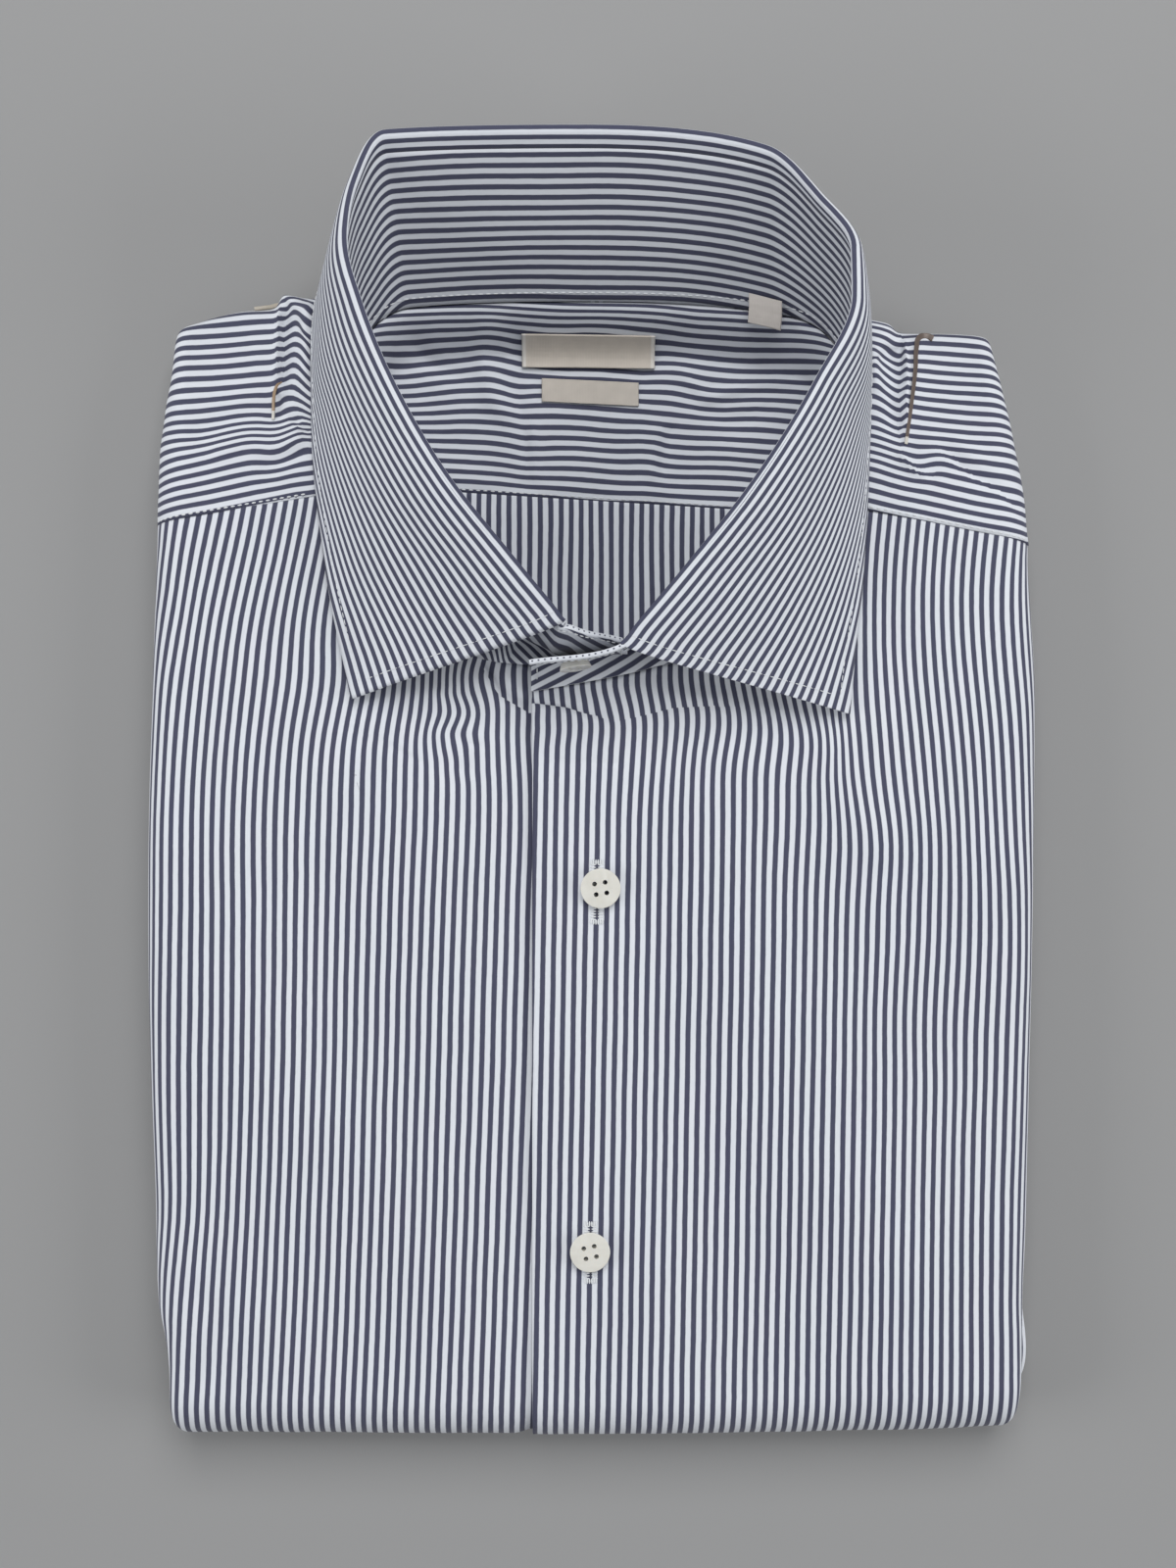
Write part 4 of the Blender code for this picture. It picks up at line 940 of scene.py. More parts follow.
def yoke_surface(rays):
    """Lines of the outer yoke: from the neck seam out, over the folded edge and under.
    Also each point's place with that fold opened flat."""
    flat_steps, roll_steps, tail_steps = YOKE_STEPS
    pick = smooth_lines(YOKE_LINES, YOKE_COLUMNS, rays)
    base, _, _, out = collar_frame(pick["at"])
    neck = base + out * YOKE_NECK_OUT
    neck[:, 2] = base[:, 2] - YOKE_NECK_DOWN - np.maximum(0.0, -out[:, 2]) * YOKE_NECK_LEAN
    edge = np.stack([pick["edge_x"], pick["edge_y"]], axis=-1)
    reach = np.linalg.norm(edge - neck[:, :2], axis=-1)
    straight_back = np.array([0.0, SHORT_TURN]) * ease((SHORT_LINE - reach) / SHORT_OVER)[:, None]
    way = unit(unit(edge - neck[:, :2]) + straight_back)
    turn_end = np.where(pick["lip_z"] < 1.0, math.pi, math.radians(LIP_TURN))
    radius = (pick["top_z"] - pick["lip_z"]) / (1 - np.cos(turn_end))
    centre = edge - way * radius[:, None]

    def on_fold(turn):
        """Points of the fold at each line's turns, from lying level to hanging and on under."""
        flat = centre[:, None, :] + way[:, None, :] * (radius[:, None] * np.sin(turn))[..., None]
        high = pick["top_z"][:, None] - radius[:, None] * (1 - np.cos(turn))
        return np.concatenate([flat, high[..., None]], axis=-1)

    short = np.sum((neck[:, :2] - centre) * way, axis=-1)
    turn_start = np.arcsin(np.clip(short / radius, 0.0, 0.9)) + np.where(short > 0, 0.12, 0.0)
    begin = on_fold(turn_start[:, None])[:, 0]
    t = np.linspace(0, 1, flat_steps, endpoint=False)[None, :]
    line = neck[:, None, :] + (begin - neck)[:, None, :] * t[..., None]
    rise = np.where((short > 0)[:, None], t, ease(t) * YOKE_SAG + t * (1 - YOKE_SAG))
    line[..., 2] = neck[:, 2, None] + (begin[:, 2] - neck[:, 2])[:, None] * rise
    share = np.linspace(0, 1, roll_steps)[None, :]
    over = on_fold(turn_start[:, None] + (turn_end - turn_start)[:, None] * share)
    tail = pick["tail"][:, None] * np.linspace(0, 1, tail_steps + 1)[None, 1:]
    level_way = np.concatenate([way, np.zeros((len(way), 1))], axis=-1)
    back = over[:, -1:, :] - level_way[:, None, :] * tail[..., None]
    points = np.concatenate([line, over, back], axis=1)
    run = arc_lengths(points, 1)
    beyond = run[:, flat_steps:] - run[:, flat_steps - 1:flat_steps]
    opened = points[..., :2].copy()
    opened[:, flat_steps:] = line[:, -1:, :2] + way[:, None, :] * beyond[..., None]
    return points, opened


def outer_yoke(material):
    rays = np.unique(np.concatenate([np.linspace(*span) for span in YOKE_RAYS]))
    points, opened = yoke_surface(rays)
    x, y = opened[..., 0], opened[..., 1]
    seam_slope = np.where(x < 0, *SEAM_SLOPES)
    over_seam = y - shoulder_seam_y(x)
    pivot, low_share, high_share, start, end = (np.where(x < 0, *pair) for pair in zip(*YOKE_LEVEL))
    level = 1 - low_share - (high_share - low_share) * ease((over_seam - start) / (end - start))
    beside_neck = (np.abs(x) - NECK_LOW_X) / (NECK_HIGH_X - NECK_LOW_X)
    level = level * ease(beside_neck)
    straight = over_seam / np.sqrt(1 + seam_slope**2) + seam_slope * (x - pivot) * level
    height = relief(x, y, YOKE_RELIEF) + ripples(x, y, [YOKE_SWELL])
    fade = ease(np.linspace(0, 1, points.shape[1]) / YOKE_NECK_FADE)[None, :]
    points = points + surface_normals(points) * (height * fade)[..., None]
    shift = pulled(x, y, YOKE_PULLS) + slips((x, y), (x, y), YOKE_SLIPS)
    shift += ripples(x, y, [YOKE_DRIFT])
    left_pull = YOKE_LEFT_PULL * np.clip(y - LEFT_PULL_FROM, 0, LEFT_PULL_OVER)
    shift += np.where(x < 0, left_pull, 0.0) * ease(beside_neck)
    weave = np.stack([straight * YOKE_TIGHT - shift, x], axis=-1)
    made = cloth_sheet("shoulder_yoke", points, weave, CLOTH, turned=True)
    return finish_cloth(made, "yoke_outer", material)


SEAM_INSIDE, SEAM_BELOW = 0.1, 0.75  # from the neck seam to the inner yoke's edge
INNER_ENDS = -108, 110  # the stations along the collar that the inner yoke reaches
INNER_NARROWER = 0.93  # its lower seam against its neck edge
INNER_FREE = 8.0, 3.0  # how far from its neck edge and its lower seam it swells freely
INNER_SWELLS = ((12, 9, 51.0, 1.0), (26, 16, 57.0, 0.9))
INNER_SWELL_MIDDLE, INNER_SWELL_SHARE = 0.5, 0.55
INNER_SINKS = 0.3  # how far it may lie below the neck's floor
INNER_DRIFT = (16, 14, 61.0, 0.9)
INNER_PULL_SHARE = 0.75
INNER_STEEP = 0.55  # how much closer the stripes lie where it falls from the neck seam
INNER_STEEP_TO, INNER_STEEP_OVER = 14.0, 12.0
INNER_TIGHT = 1.02


def neck_seam_inside(at):
    base, _, _, out = collar_frame(at)
    inside = base - out * SEAM_INSIDE
    inside[..., 2] = base[..., 2] - SEAM_BELOW
    return inside


def inner_seam_y(x):
    """The seam between the inner yoke and the back."""
    return INNER_SEAM_Y + INNER_SEAM_SLOPE * x


def inner_grid(rows, lines):
    """The inner yoke from the neck seam down to the seam across the back, and its lengths."""
    top = neck_seam_inside(np.linspace(*INNER_ENDS, rows))
    foot_x = top[:, 0] * INNER_NARROWER
    foot = np.stack([foot_x, inner_seam_y(foot_x), np.full(rows, NECK_FLOOR)], axis=-1)
    t = np.linspace(0, 1, lines)[None, :, None]
    points = top[:, None, :] + (foot - top)[:, None, :] * t
    length = np.linalg.norm(top[:, :2] - foot[:, :2], axis=-1)[:, None] * t[..., 0]
    fallen = 1 - ease(length / NECK_RISE)
    points[..., 2] = NECK_FLOOR + (top[:, 2] - NECK_FLOOR)[:, None] * fallen
    return points, length


def inner_yoke(material):
    """The yoke seen inside the neck, and a way to read its height for what is sewn to it."""
    points, length = inner_grid(150, 90)
    x, y = points[..., 0], points[..., 1]
    free = ease(length / INNER_FREE[0]) * ease((length[:, -1:] - length) / INNER_FREE[1])
    height = (ripples(x, y, INNER_SWELLS) + INNER_SWELL_MIDDLE) * free
    points[..., 2] += np.maximum(height, -INNER_SINKS) * INNER_SWELL_SHARE
    creased = points[..., 2] + relief(x, y, INNER_RELIEF) * free
    points[..., 2] = np.maximum(creased, NECK_FLOOR - INNER_SINKS)
    shift = (pulled(x, y, INNER_PULLS) + ripples(x, y, [INNER_DRIFT])) * INNER_PULL_SHARE
    slope = 1.0 + INNER_STEEP * ease((INNER_STEEP_TO - length) / INNER_STEEP_OVER)
    run = np.cumsum(np.diff(length, axis=1, prepend=0.0) * slope, axis=1)
    weave = np.stack([(run[:, -1:] - run) * INNER_TIGHT - shift, x], axis=-1)
    made = cloth_sheet("neck_yoke", points, weave, CLOTH)
    finish_cloth(made, "yoke_inner", material)
    spots = points[::3, ::3].reshape(-1, 3)

    def height_at(x, y):
        far = (spots[:, 0] - x[..., None]) ** 2 + (spots[:, 1] - y[..., None]) ** 2
        weight = 1.0 / (far + 1.0) ** 3
        return np.sum(weight * spots[:, 2], axis=-1) / np.sum(weight, axis=-1)

    return made, height_at


BACK_NARROWER = 0.78  # its foot against the inner seam
BACK_ABOVE_FRONTS, BACK_SHORTEST = 5.0, 6.0
BACK_SWELL = (10, 24, 71.0)
BACK_DRIFT = (14, 26, 77.0, 0.5)


def inner_back(material):
    """The part of the back that shows inside the neck, from the inner seam to the fronts."""
    top = inner_grid(130, 3)[0][:, -1, :] - np.array([0.0, SEAM_GAP, 0.0])
    x_foot = top[:, 0] * BACK_NARROWER
    y_fronts = np.where(x_foot < 0, *(front_top(x_foot, side)[0] for side in (-1, 1)))
    y_foot = np.minimum(y_fronts + BACK_ABOVE_FRONTS, top[:, 1] - BACK_SHORTEST)
    foot = np.stack([x_foot, y_foot, np.full(130, NECK_FLOOR - INNER_SINKS)], axis=-1)
    t = np.linspace(0, 1, 60)[None, :, None]
    points = top[:, None, :] + (foot - top)[:, None, :] * t
    fallen = 1 - ease(t[..., 0] * 2.2)
    points[..., 2] = foot[:, None, 2] + (top[:, None, 2] - foot[:, None, 2]) * fallen
    x, y = points[..., 0], points[..., 1]
    swell = np.maximum(ripple(x, y, *BACK_SWELL), -0.2) * 0.5
    points[..., 2] += swell * ease(t[..., 0] / 0.15)
    weave = np.stack([x - ripples(x, y, [BACK_DRIFT]), y], axis=-1)
    made = cloth_sheet("neck_back", points, weave, CLOTH)
    return finish_cloth(made, "back", material)


# ---------------------------------------------------------------- sleeves


SLEEVES = {-1: ("left_sleeve", "sleeve_left"), 1: ("right_sleeve", "sleeve_right")}
SLEEVE_FOOT, SLEEVE_TOP = -166.0, 120.0
SLEEVE_ENDS = 0.9  # half the thickness of the sleeve's two plies where they lie together
SLEEVE_OPENS = 7.0  # over what length from its ends it reaches its full thickness
SLEEVE_NIP = 0.22  # how far its outer crease is drawn in between the plies
SLEEVE_SWELL = (18, 30, 81.0)
SLEEVE_DRIFT = (18, 40, 85.0, 0.8)
SLEEVE_EDGE_X, SLEEVE_EDGE_OVER = 108.0, 8.0  # its outer crease is uneven outside this


def sleeve_section(outer, inner, low, high):
    """One flattened section of a sleeve, from the top of its outer crease round and back."""
    thick = (high - low) / 2
    middle = (high + low) / 2
    crease = np.radians(np.linspace(90, -90, 17))
    nip = 1 - SLEEVE_NIP * np.cos(crease) ** 12
    fold = np.radians(np.linspace(-90, -270, 11))
    ply = np.linspace(outer - thick - 1, inner + thick + 1, 26)
    ring = np.concatenate([
        np.stack([outer - thick + thick * np.cos(crease) * nip, thick * np.sin(crease)], axis=-1),
        np.stack([ply, np.full_like(ply, -thick)], axis=-1),
        np.stack([inner + thick + thick * np.cos(fold), thick * np.sin(fold)], axis=-1),
        np.stack([ply[::-1], np.full_like(ply, thick)], axis=-1),
    ])
    ring[:, 1] += middle
    return np.concatenate([ring, ring[:1]])


def sleeve(side, material):
    """A sleeve folded flat down the back: a soft tube, its two plies together at the ends."""
    spans = ((SLEEVE_FOOT, -150, 16), (-146, 84, 90), (86, SLEEVE_TOP, 26))
    stations = np.concatenate([np.linspace(*span) for span in spans])
    pick = smooth_lines(SLEEVE_LINES, SLEEVE_COLUMNS, stations)
    outer = pick["outer_x"]
    if side < 0:
        outer = outer - smooth_line(NARROWER, NARROWER_COLUMNS, "narrower", stations)
    ends = ease(np.minimum(stations - SLEEVE_FOOT, SLEEVE_TOP - stations) / SLEEVE_OPENS)
    half = SLEEVE_ENDS + ((pick["high_z"] - pick["low_z"]) / 2 - SLEEVE_ENDS) * ends
    middle = np.maximum((pick["high_z"] + pick["low_z"]) / 2, half)
    rings = np.array([
        sleeve_section(*row) for row in zip(outer, pick["inner_x"], middle - half, middle + half)
    ])
    along = np.broadcast_to(stations[:, None], rings.shape[:2])
    points = np.stack([side * rings[..., 0], along, rings[..., 1]], axis=-1)
    run = arc_lengths(points, 1)
    x, y = np.abs(points[..., 0]), points[..., 1]
    uneven = ripples(x, y, [(*SLEEVE_SWELL, 1.0)], side)
    points[..., 0] += side * uneven * 0.5 * ease((x - SLEEVE_EDGE_X) / SLEEVE_EDGE_OVER)
    points[..., 2] = np.clip(points[..., 2] + uneven * 0.35 * (points[..., 2] > 5), 0.05, None)
    weave = np.stack([run - ripples(x, y, [SLEEVE_DRIFT], side), y], axis=-1)
    name, node = SLEEVES[side]
    made = cloth_sheet(name, points, weave, CLOTH, turned=side > 0)
    return finish_cloth(made, node, material)


# ---------------------------------------------------------------- collar


BAND_TURNS_AT = 172.0  # beyond these stations the band's stripes keep to its flat front ends
BAND_ENDS_AT = 176.0
BAND_TIGHT = 1.1
BAND_OFF_GRAIN = 0.34  # slope of the stripes at its outer end, and the share of it at the other
BAND_OFF_GRAIN_UNDER = 0.15
BAND_DRIFT = (30, 20, 87.0, 0.5)
BAND_LOWER = 0.28  # how far under the leaf's seam the stand's top stays, but for its bare ends
BAND_BARE_AT, BAND_BARE_OVER = 190.0, 6.0
STATION_STEP = 1.25


def stand_rise(at):
    return smooth_line(COLLAR_LINES, COLLAR_COLUMNS, "rise", at)


def collar_stations(first, last):
    even = np.arange(first, last + 0.01, STATION_STEP)
    return np.unique(np.concatenate([even, [last]]))


def bent_line(corners, turn, shares):
    """Lines through a row of corners, each rounded over a short length before and after it."""
    spots = [corners[0]]
    for a, b, c in zip(corners, corners[1:], corners[2:]):
        before, after = (
            b + unit(way) * np.minimum(turn, np.linalg.norm(way, axis=-1, keepdims=True) * 0.45)
            for way in (a - b, c - b)
        )
        spots += [before, b, after]
    spots.append(corners[-1])
    pieces = 2 * len(corners) - 3
    lines = []
    for share in shares:
        piece = min(int(share * pieces), pieces - 1)
        u = share * pieces - piece
        a, b, *rest = spots[3 * (piece // 2):][:4]
        if piece % 2 == 0:
            lines.append(a + (b - a) * u)
        else:
            c, d = rest
            lines.append(b * (1 - u) ** 2 + c * 2 * u * (1 - u) + d * u**2)
    return np.stack(lines, axis=1)


def stand_points(at, shares):
    """Lines up the inside of the stand. At the front the band lies flat, then turns upright;
    the end underneath rises behind the outer one, and leans back to its top."""
    base, fold, up, _ = collar_frame(at)
    bare = ease((np.abs(at) - BAND_BARE_AT) / BAND_BARE_OVER)
    lower = np.maximum(stand_rise(at) - BAND_LOWER, 0.0) * (1 - bare)
    top = fold - up * lower[:, None]
    flare = ease((np.abs(at) - FLARE[0]) / (FLARE[1] - FLARE[0]))[:, None, None]
    straight = base[:, None] + (top - base)[:, None] * np.array(shares)[None, :, None]
    corner = top[:, :2] + unit(top[:, :2] - base[:, :2]) * FLARE_BACK
    corner = np.concatenate([corner, base[:, 2:]], axis=-1)
    outer = bent_line([base, corner, top], FLARE_TURN, shares)
    under = base + (top - base) * np.array([UNDER_FOOT, UNDER_FOOT, 0.0])
    lip = base + (top - base) * np.array([UNDER_LIP, UNDER_LIP, UNDER_LIP_UP])
    beneath = bent_line([base, under, lip, top], UNDER_TURN, shares)
    bent = np.where((at > 0)[:, None, None], outer, beneath)
    return straight * (1 - flare) + bent * flare


def collar_stand(inner_shaded_material, material, edge_material):
    at = collar_stations(COLLAR_LINES[0][0], COLLAR_LINES[-1][0])
    points = stand_points(at, np.linspace(0, 1, 30))
    run = arc_lengths(points, 1)
    over_roll = stand_rise(at) * BAND_TIGHT
    from_fold = run[:, -1:] - run + over_roll[:, None]
    stations = np.broadcast_to(at[:, None], run.shape)
    # At the front ends the stripes keep to the foot of the outer end, and to the top of the other.
    plan = arc_lengths(points[..., :2], 1)
    near = int(np.argmin(np.abs(at - BAND_TURNS_AT)))
    from_foot = run[near, -1] + over_roll[near] - run
    from_top = (plan[:, -1:] - plan) * 1.2 + over_roll[:, None]
    ends = ease((np.abs(stations) - BAND_TURNS_AT) / 8)
    from_fold = from_fold * (1 - ends) + np.where(stations > 0, from_foot, from_top) * ends
    # The band is cut on a curve, so the stripes run off its front ends.
    past = np.abs(stations) - BAND_ENDS_AT
    tilt = BAND_OFF_GRAIN * np.maximum(past, 0.0) * ease(past / 10)
    tilt = tilt * np.where(stations > 0, 1.0, BAND_OFF_GRAIN_UNDER)
    shift = ripples(stations, from_fold, [BAND_DRIFT])
    weave = np.stack([from_fold - tilt - shift, stations], axis=-1)
    made = cloth_sheet("neck_band", points, weave, COLLAR, turned=True)
    made.modifiers["ply"].material_offset_rim = 1
    # The band inside the neck takes the darker copy of the cloth, which is painted shade; its front
    # ends take the plain cloth, and each rim the next slot's finish.
    finish_cloth(made, "collar_stand", inner_shaded_material)
    made.data.materials.append(material)
    made.data.materials.append(edge_material)
    front_rows = np.repeat(np.abs(at[:-1]) > BAND_ENDS_AT, points.shape[1] - 1)
    made.data.polygons.foreach_set("material_index", front_rows.astype(np.int32))
    return at, points


LEAF_UP = (0.0, 0.2, 0.4, 0.6, 0.8, 0.92)  # shares up the stand, then down the fall
LEAF_DOWN = tuple(np.linspace(0, 1, 56) ** 1.25)
# Swells of the leaf and drift of its stripes: reach each way, seed and size.
LEAF_SWELL = (22, 26, 91.0, 0.48)
LEAF_DRIFT = (26, 18, 95.0, 0.72)
LEAF_FREE_FROM, LEAF_FREE_OVER = 90.0, 40.0  # along the collar, where the leaf swells freely
LEAF_RIGHT_SHARE = 0.6  # the right half lies smoother
LEAF_FAN = (78, 22, 1.05)  # where the stripes start to fan, over what length, and how tight before


def leaf_points(at, shares_up, shares_down):
    _, fold, up, out = collar_frame(at)
    pick = smooth_lines(LEAF_LINES, LEAF_COLUMNS, at)
    rise = (stand_rise(at) - GAP)[:, None]
    edge = np.stack([pick["edge_x"], pick["edge_y"], pick["edge_z"]], axis=-1)
    level_out = unit(out * np.array([1.0, 1.0, 0.0]))
    seam = fold - up * rise
    lines = [hermite(seam, fold, up * rise * 1.3, level_out * rise, t) for t in shares_up]
    fall = edge - fold - pick["steep"][:, None] * np.array([0.0, 0.0, 1.0])
    swell = level_out * pick["swell"][:, None]
    lines += [hermite(fold, edge, swell, fall, t) for t in shares_down]
    return np.stack(lines, axis=1)


def collar_leaf(material):
    at = collar_stations(LEAF_LINES[0][0], LEAF_LINES[-1][0])
    points = leaf_points(at, LEAF_UP, LEAF_DOWN)
    run = arc_lengths(points, 1)
    fold_at = len(LEAF_UP)
    from_fold = run - run[:, fold_at:fold_at + 1]
    stations = np.broadcast_to(at[:, None], run.shape)
    free = ease(from_fold / 12) * ease((np.abs(stations) - LEAF_FREE_FROM) / LEAF_FREE_OVER)
    free = free * np.where(stations < 0, 1.0, LEAF_RIGHT_SHARE)
    height = ripples(stations, from_fold, [LEAF_SWELL]) * free
    points = points - surface_normals(points) * height[..., None]
    shift = ripples(stations, from_fold, [LEAF_DRIFT]) * free
    # At the front the stripes fan out from the roll line, being cut on the straight.
    fall = run[:, -1:] - run[:, fold_at:fold_at + 1]
    fan = smooth_line(LEAF_STRIPES, LEAF_STRIPES_COLUMNS, "count", at)[:, None] * PITCH / fall
    fan_from, fan_over, tight = LEAF_FAN
    front_part = ease((np.abs(stations) - fan_from) / fan_over)
    tight = tight * (1 - front_part) + fan * front_part
    weave = np.stack([from_fold * tight - shift, stations], axis=-1)
    made = cloth_sheet("collar_fall", points, weave, COLLAR, turned=True)
    finish_cloth(made, "collar_leaf", material)
    return points


# ---------------------------------------------------------------- stitches


STITCH_RISE = 0.16  # half the height of a stitch
STITCH_AHEAD = 0.4  # how far on either side its direction is read
DROP_FROM = 120.0  # a height over everything, from which lines are dropped on the cloth


def dropped(made, x, y):
    """Where a piece is met from above, and the way it faces there, or None."""
    hit, place, normal, _ = made.ray_cast(to_frame((x, y, DROP_FROM)), Vector((0, 0, -1)))
    return (place, normal) if hit else None


def inset_line(points, normals, axis, end, distance, first=0, last=None):
    """The line at a distance inside one edge of a grid, and the outward way along it."""
    if axis == 0:
        points, normals = points.transpose(1, 0, 2), normals.transpose(1, 0, 2)
    if end:
        points, normals = points[:, ::-1], normals[:, ::-1]
    rows = list(zip(arc_lengths(points, 1), points, normals))[first:last]
    line = np.array([read_line(distance, run, row) for run, row, _ in rows])
    return line, unit(np.array([read_line(distance, run, way) for run, _, way in rows]))


def surface_line(made, places, step=1.0):
    """A line laid over a finished sheet from above, by its places in millimetres."""
    bpy.context.view_layer.update()
    spots = []
    for a, b in zip(places, places[1:]):
        count = max(2, int(math.dist(a, b) / step))
        shares = [k / count for k in range(count)]
        spots += [(a[0] + (b[0] - a[0]) * t, a[1] + (b[1] - a[1]) * t) for t in shares]
    met = [found for x, y in [*spots, places[-1]] if (found := dropped(made, x, y))]
    line = np.array([place for place, _ in met]) / MM + np.array([MIDDLE_X, MIDDLE_Y, 0.0])
    return line, unit(np.array([normal for _, normal in met]))


def one_stitch():
    """A single stitch: a rounded bar of thread, drawn down at its ends."""
    bpy.ops.object.select_all(action="DESELECT")
    bpy.ops.mesh.primitive_uv_sphere_add(segments=8, ring_count=5, radius=1.0, location=(0, 0, 0))
    made = bpy.context.object
    bpy.ops.object.mode_set(mode="EDIT")
    bpy.ops.mesh.select_all(action="SELECT")
    bpy.ops.transform.rotate(value=math.pi / 2, orient_axis="Y", center_override=(0, 0, 0))
    bpy.ops.object.mode_set(mode="OBJECT")
    return made


def stitched(name, rows, thread, pitch=2.1, length=1.5, width=0.42, across=False, lift=0.06):
    """Rows of stitches joined in one piece. across turns each stitch over its line."""
    pattern = one_stitch()
    copies = []
    for line, ways in rows:
        run = arc_lengths(line[:, None, :], 0)[:, 0]
        count = max(1, int(run[-1] / pitch))
        for at in (np.arange(count) + 0.5) * run[-1] / count:
            before = read_line(max(at - STITCH_AHEAD, 0.0), run, line)
            after = read_line(min(at + STITCH_AHEAD, run[-1]), run, line)
            way = unit(read_line(at, run, ways))
            along = unit(after - before)
            if across:
                along = unit(np.cross(way, along))
            aside = unit(np.cross(way, along))
            form = np.eye(4)
            form[:3, 0] = along * length / 2 * MM
            form[:3, 1] = aside * width / 2 * MM
            form[:3, 2] = way * STITCH_RISE * MM
            form[:3, 3] = to_frame(read_line(at, run, line) + way * lift)
            stitch = copied(pattern)
            stitch.data.transform(Matrix(form.tolist()))
            copies.append(stitch)
    bpy.data.objects.remove(pattern, do_unlink=True)
    select_only(*copies)
    if len(copies) > 1:
        bpy.ops.object.join()
    made = bpy.context.view_layer.objects.active
    made.name = made.data.name = name
    made.data.shade_smooth()
    return finish_piece(made, thread)


# ---------------------------------------------------------------- buttons


BUTTON_RADIUS = 5.45
BUTTON_HEIGHT = 2.2
BUTTONS = (  # name, node, place, and how far it is turned in degrees
    ("upper_button", "button_upper", (2.5, -27.7), 9.0),
    ("lower_button", "button_lower", (-0.3, -124.6), 12.0),
)
BUTTON_FACING = (0.03, -0.05, 1.0)
NECK_BUTTON_SIZE = 4.3, 2.0
NECK_BUTTON_Y = 32.1
NECK_BUTTON_FACING = (0.16, -1.0, 0.12)
# The rings of a button's front, from its rim in: each one's width as a share of the radius, and
# how far what lies inside it is sunk.
BUTTON_RINGS = ((0.10, 0.0), (0.16, 0.0), (0.13, 0.62), (0.16, 0.06))
BUTTON_BACK = 0.84  # the back is this much smaller than the rim
BUTTON_ROUNDING = 0.34
HOLE_RADIUS, HOLE_PLACE = 0.117, 0.262  # shares of the radius; each way from the middle


def select_faces(made, chosen):
    """In edit mode, the faces selected whose upward share of the normal is chosen."""
    work = bmesh.from_edit_mesh(made.data)
    for face in work.faces:
        face.select_set(chosen(face.normal.z))
    work.select_flush_mode()
    bmesh.update_edit_mesh(made.data)


def cylinder(vertices, radius, height, place):
    """A cylinder in millimetres, its place in its mesh."""
    bpy.ops.object.select_all(action="DESELECT")
    bpy.ops.mesh.primitive_cylinder_add(
        vertices=vertices, radius=radius * MM, depth=height * MM, location=[v * MM for v in place]
    )
    bpy.ops.object.transform_apply(location=True, rotation=False, scale=False)
    return bpy.context.object


def button_blank(radius, height):
    """A turned shirt button on its back at the origin: a rim round a shallow dish, four holes."""
    made = cylinder(64, radius, height, (0, 0, height / 2))
    bpy.ops.object.mode_set(mode="EDIT")
    select_faces(made, lambda up: up > 0.9)
    for width, sunk in BUTTON_RINGS:
        bpy.ops.mesh.inset(thickness=radius * width * MM)
        if sunk:
            bpy.ops.transform.translate(value=(0, 0, -sunk * MM))
    select_faces(made, lambda up: up < -0.9)
    bpy.ops.transform.resize(value=(BUTTON_BACK, BUTTON_BACK, 1.0))
    bpy.ops.object.mode_set(mode="OBJECT")
    soften = made.modifiers.new("soften", "BEVEL")
    soften.width = BUTTON_ROUNDING * MM
    soften.segments = 4
    soften.limit_method = "ANGLE"
    soften.angle_limit = math.radians(24)
    bpy.ops.object.modifier_apply(modifier="soften")
    aside = radius * HOLE_PLACE
    drills = [cylinder(20, radius * HOLE_RADIUS, 4 * height, (aside, aside, height / 2))]
    for turn in (90, 180, 270):
        drills.append(copied(drills[0]))
        drills[-1].data.transform(Matrix.Rotation(math.radians(turn), 4, "Z"))
    select_only(made)
    for drill in drills:
        cut = made.modifiers.new("hole", "BOOLEAN")
        cut.operation = "DIFFERENCE"
        cut.solver = "EXACT"
        cut.object = drill
        bpy.ops.object.modifier_apply(modifier="hole")
        bpy.data.objects.remove(drill, do_unlink=True)
    bpy.ops.object.shade_smooth_by_angle(angle=math.radians(35))
    return made


def place_button(made, name, node, place, facing, turn, material):
    way = Vector(facing).normalized()
    side = Vector((1.0, 0.0, 0.0)) if abs(way.x) < 0.9 else Vector((0.0, 1.0, 0.0))
    up = way.cross(side).normalized()
    side = up.cross(way).normalized()
    turned = Matrix((side, up, way)).transposed().to_4x4()
    moved = Matrix.Translation(to_frame(place)) @ turned @ Matrix.Rotation(turn, 4, "Z")
    made.data.transform(moved)
    made.name = made.data.name = name
    finish_piece(made, material, node)


def shirt_buttons():
    pearl = pearl_plastic()
    for name, node, spot, turn in BUTTONS:
        made = button_blank(BUTTON_RADIUS, BUTTON_HEIGHT)
        place = (*spot, PACK + GAP + SEAM_GAP)
        place_button(made, name, node, place, BUTTON_FACING, math.radians(turn), pearl)
    low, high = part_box("button_collar")
    middle = (Vector(low) + Vector(high)) / 2
    place = (middle.x / MM + MIDDLE_X, NECK_BUTTON_Y, middle.z / MM - 0.2)
    made = button_blank(*NECK_BUTTON_SIZE)
    place_button(made, "neck_button", "button_collar", place, NECK_BUTTON_FACING, 0.3, pearl)


BUTTONHOLES = ((1.6, -21.2, -36.6), (-0.1, -117.9, -132.6))  # middle, top and foot
BUTTONHOLE_SIDE = 1.05
BUTTONHOLE_BAR = 1.8


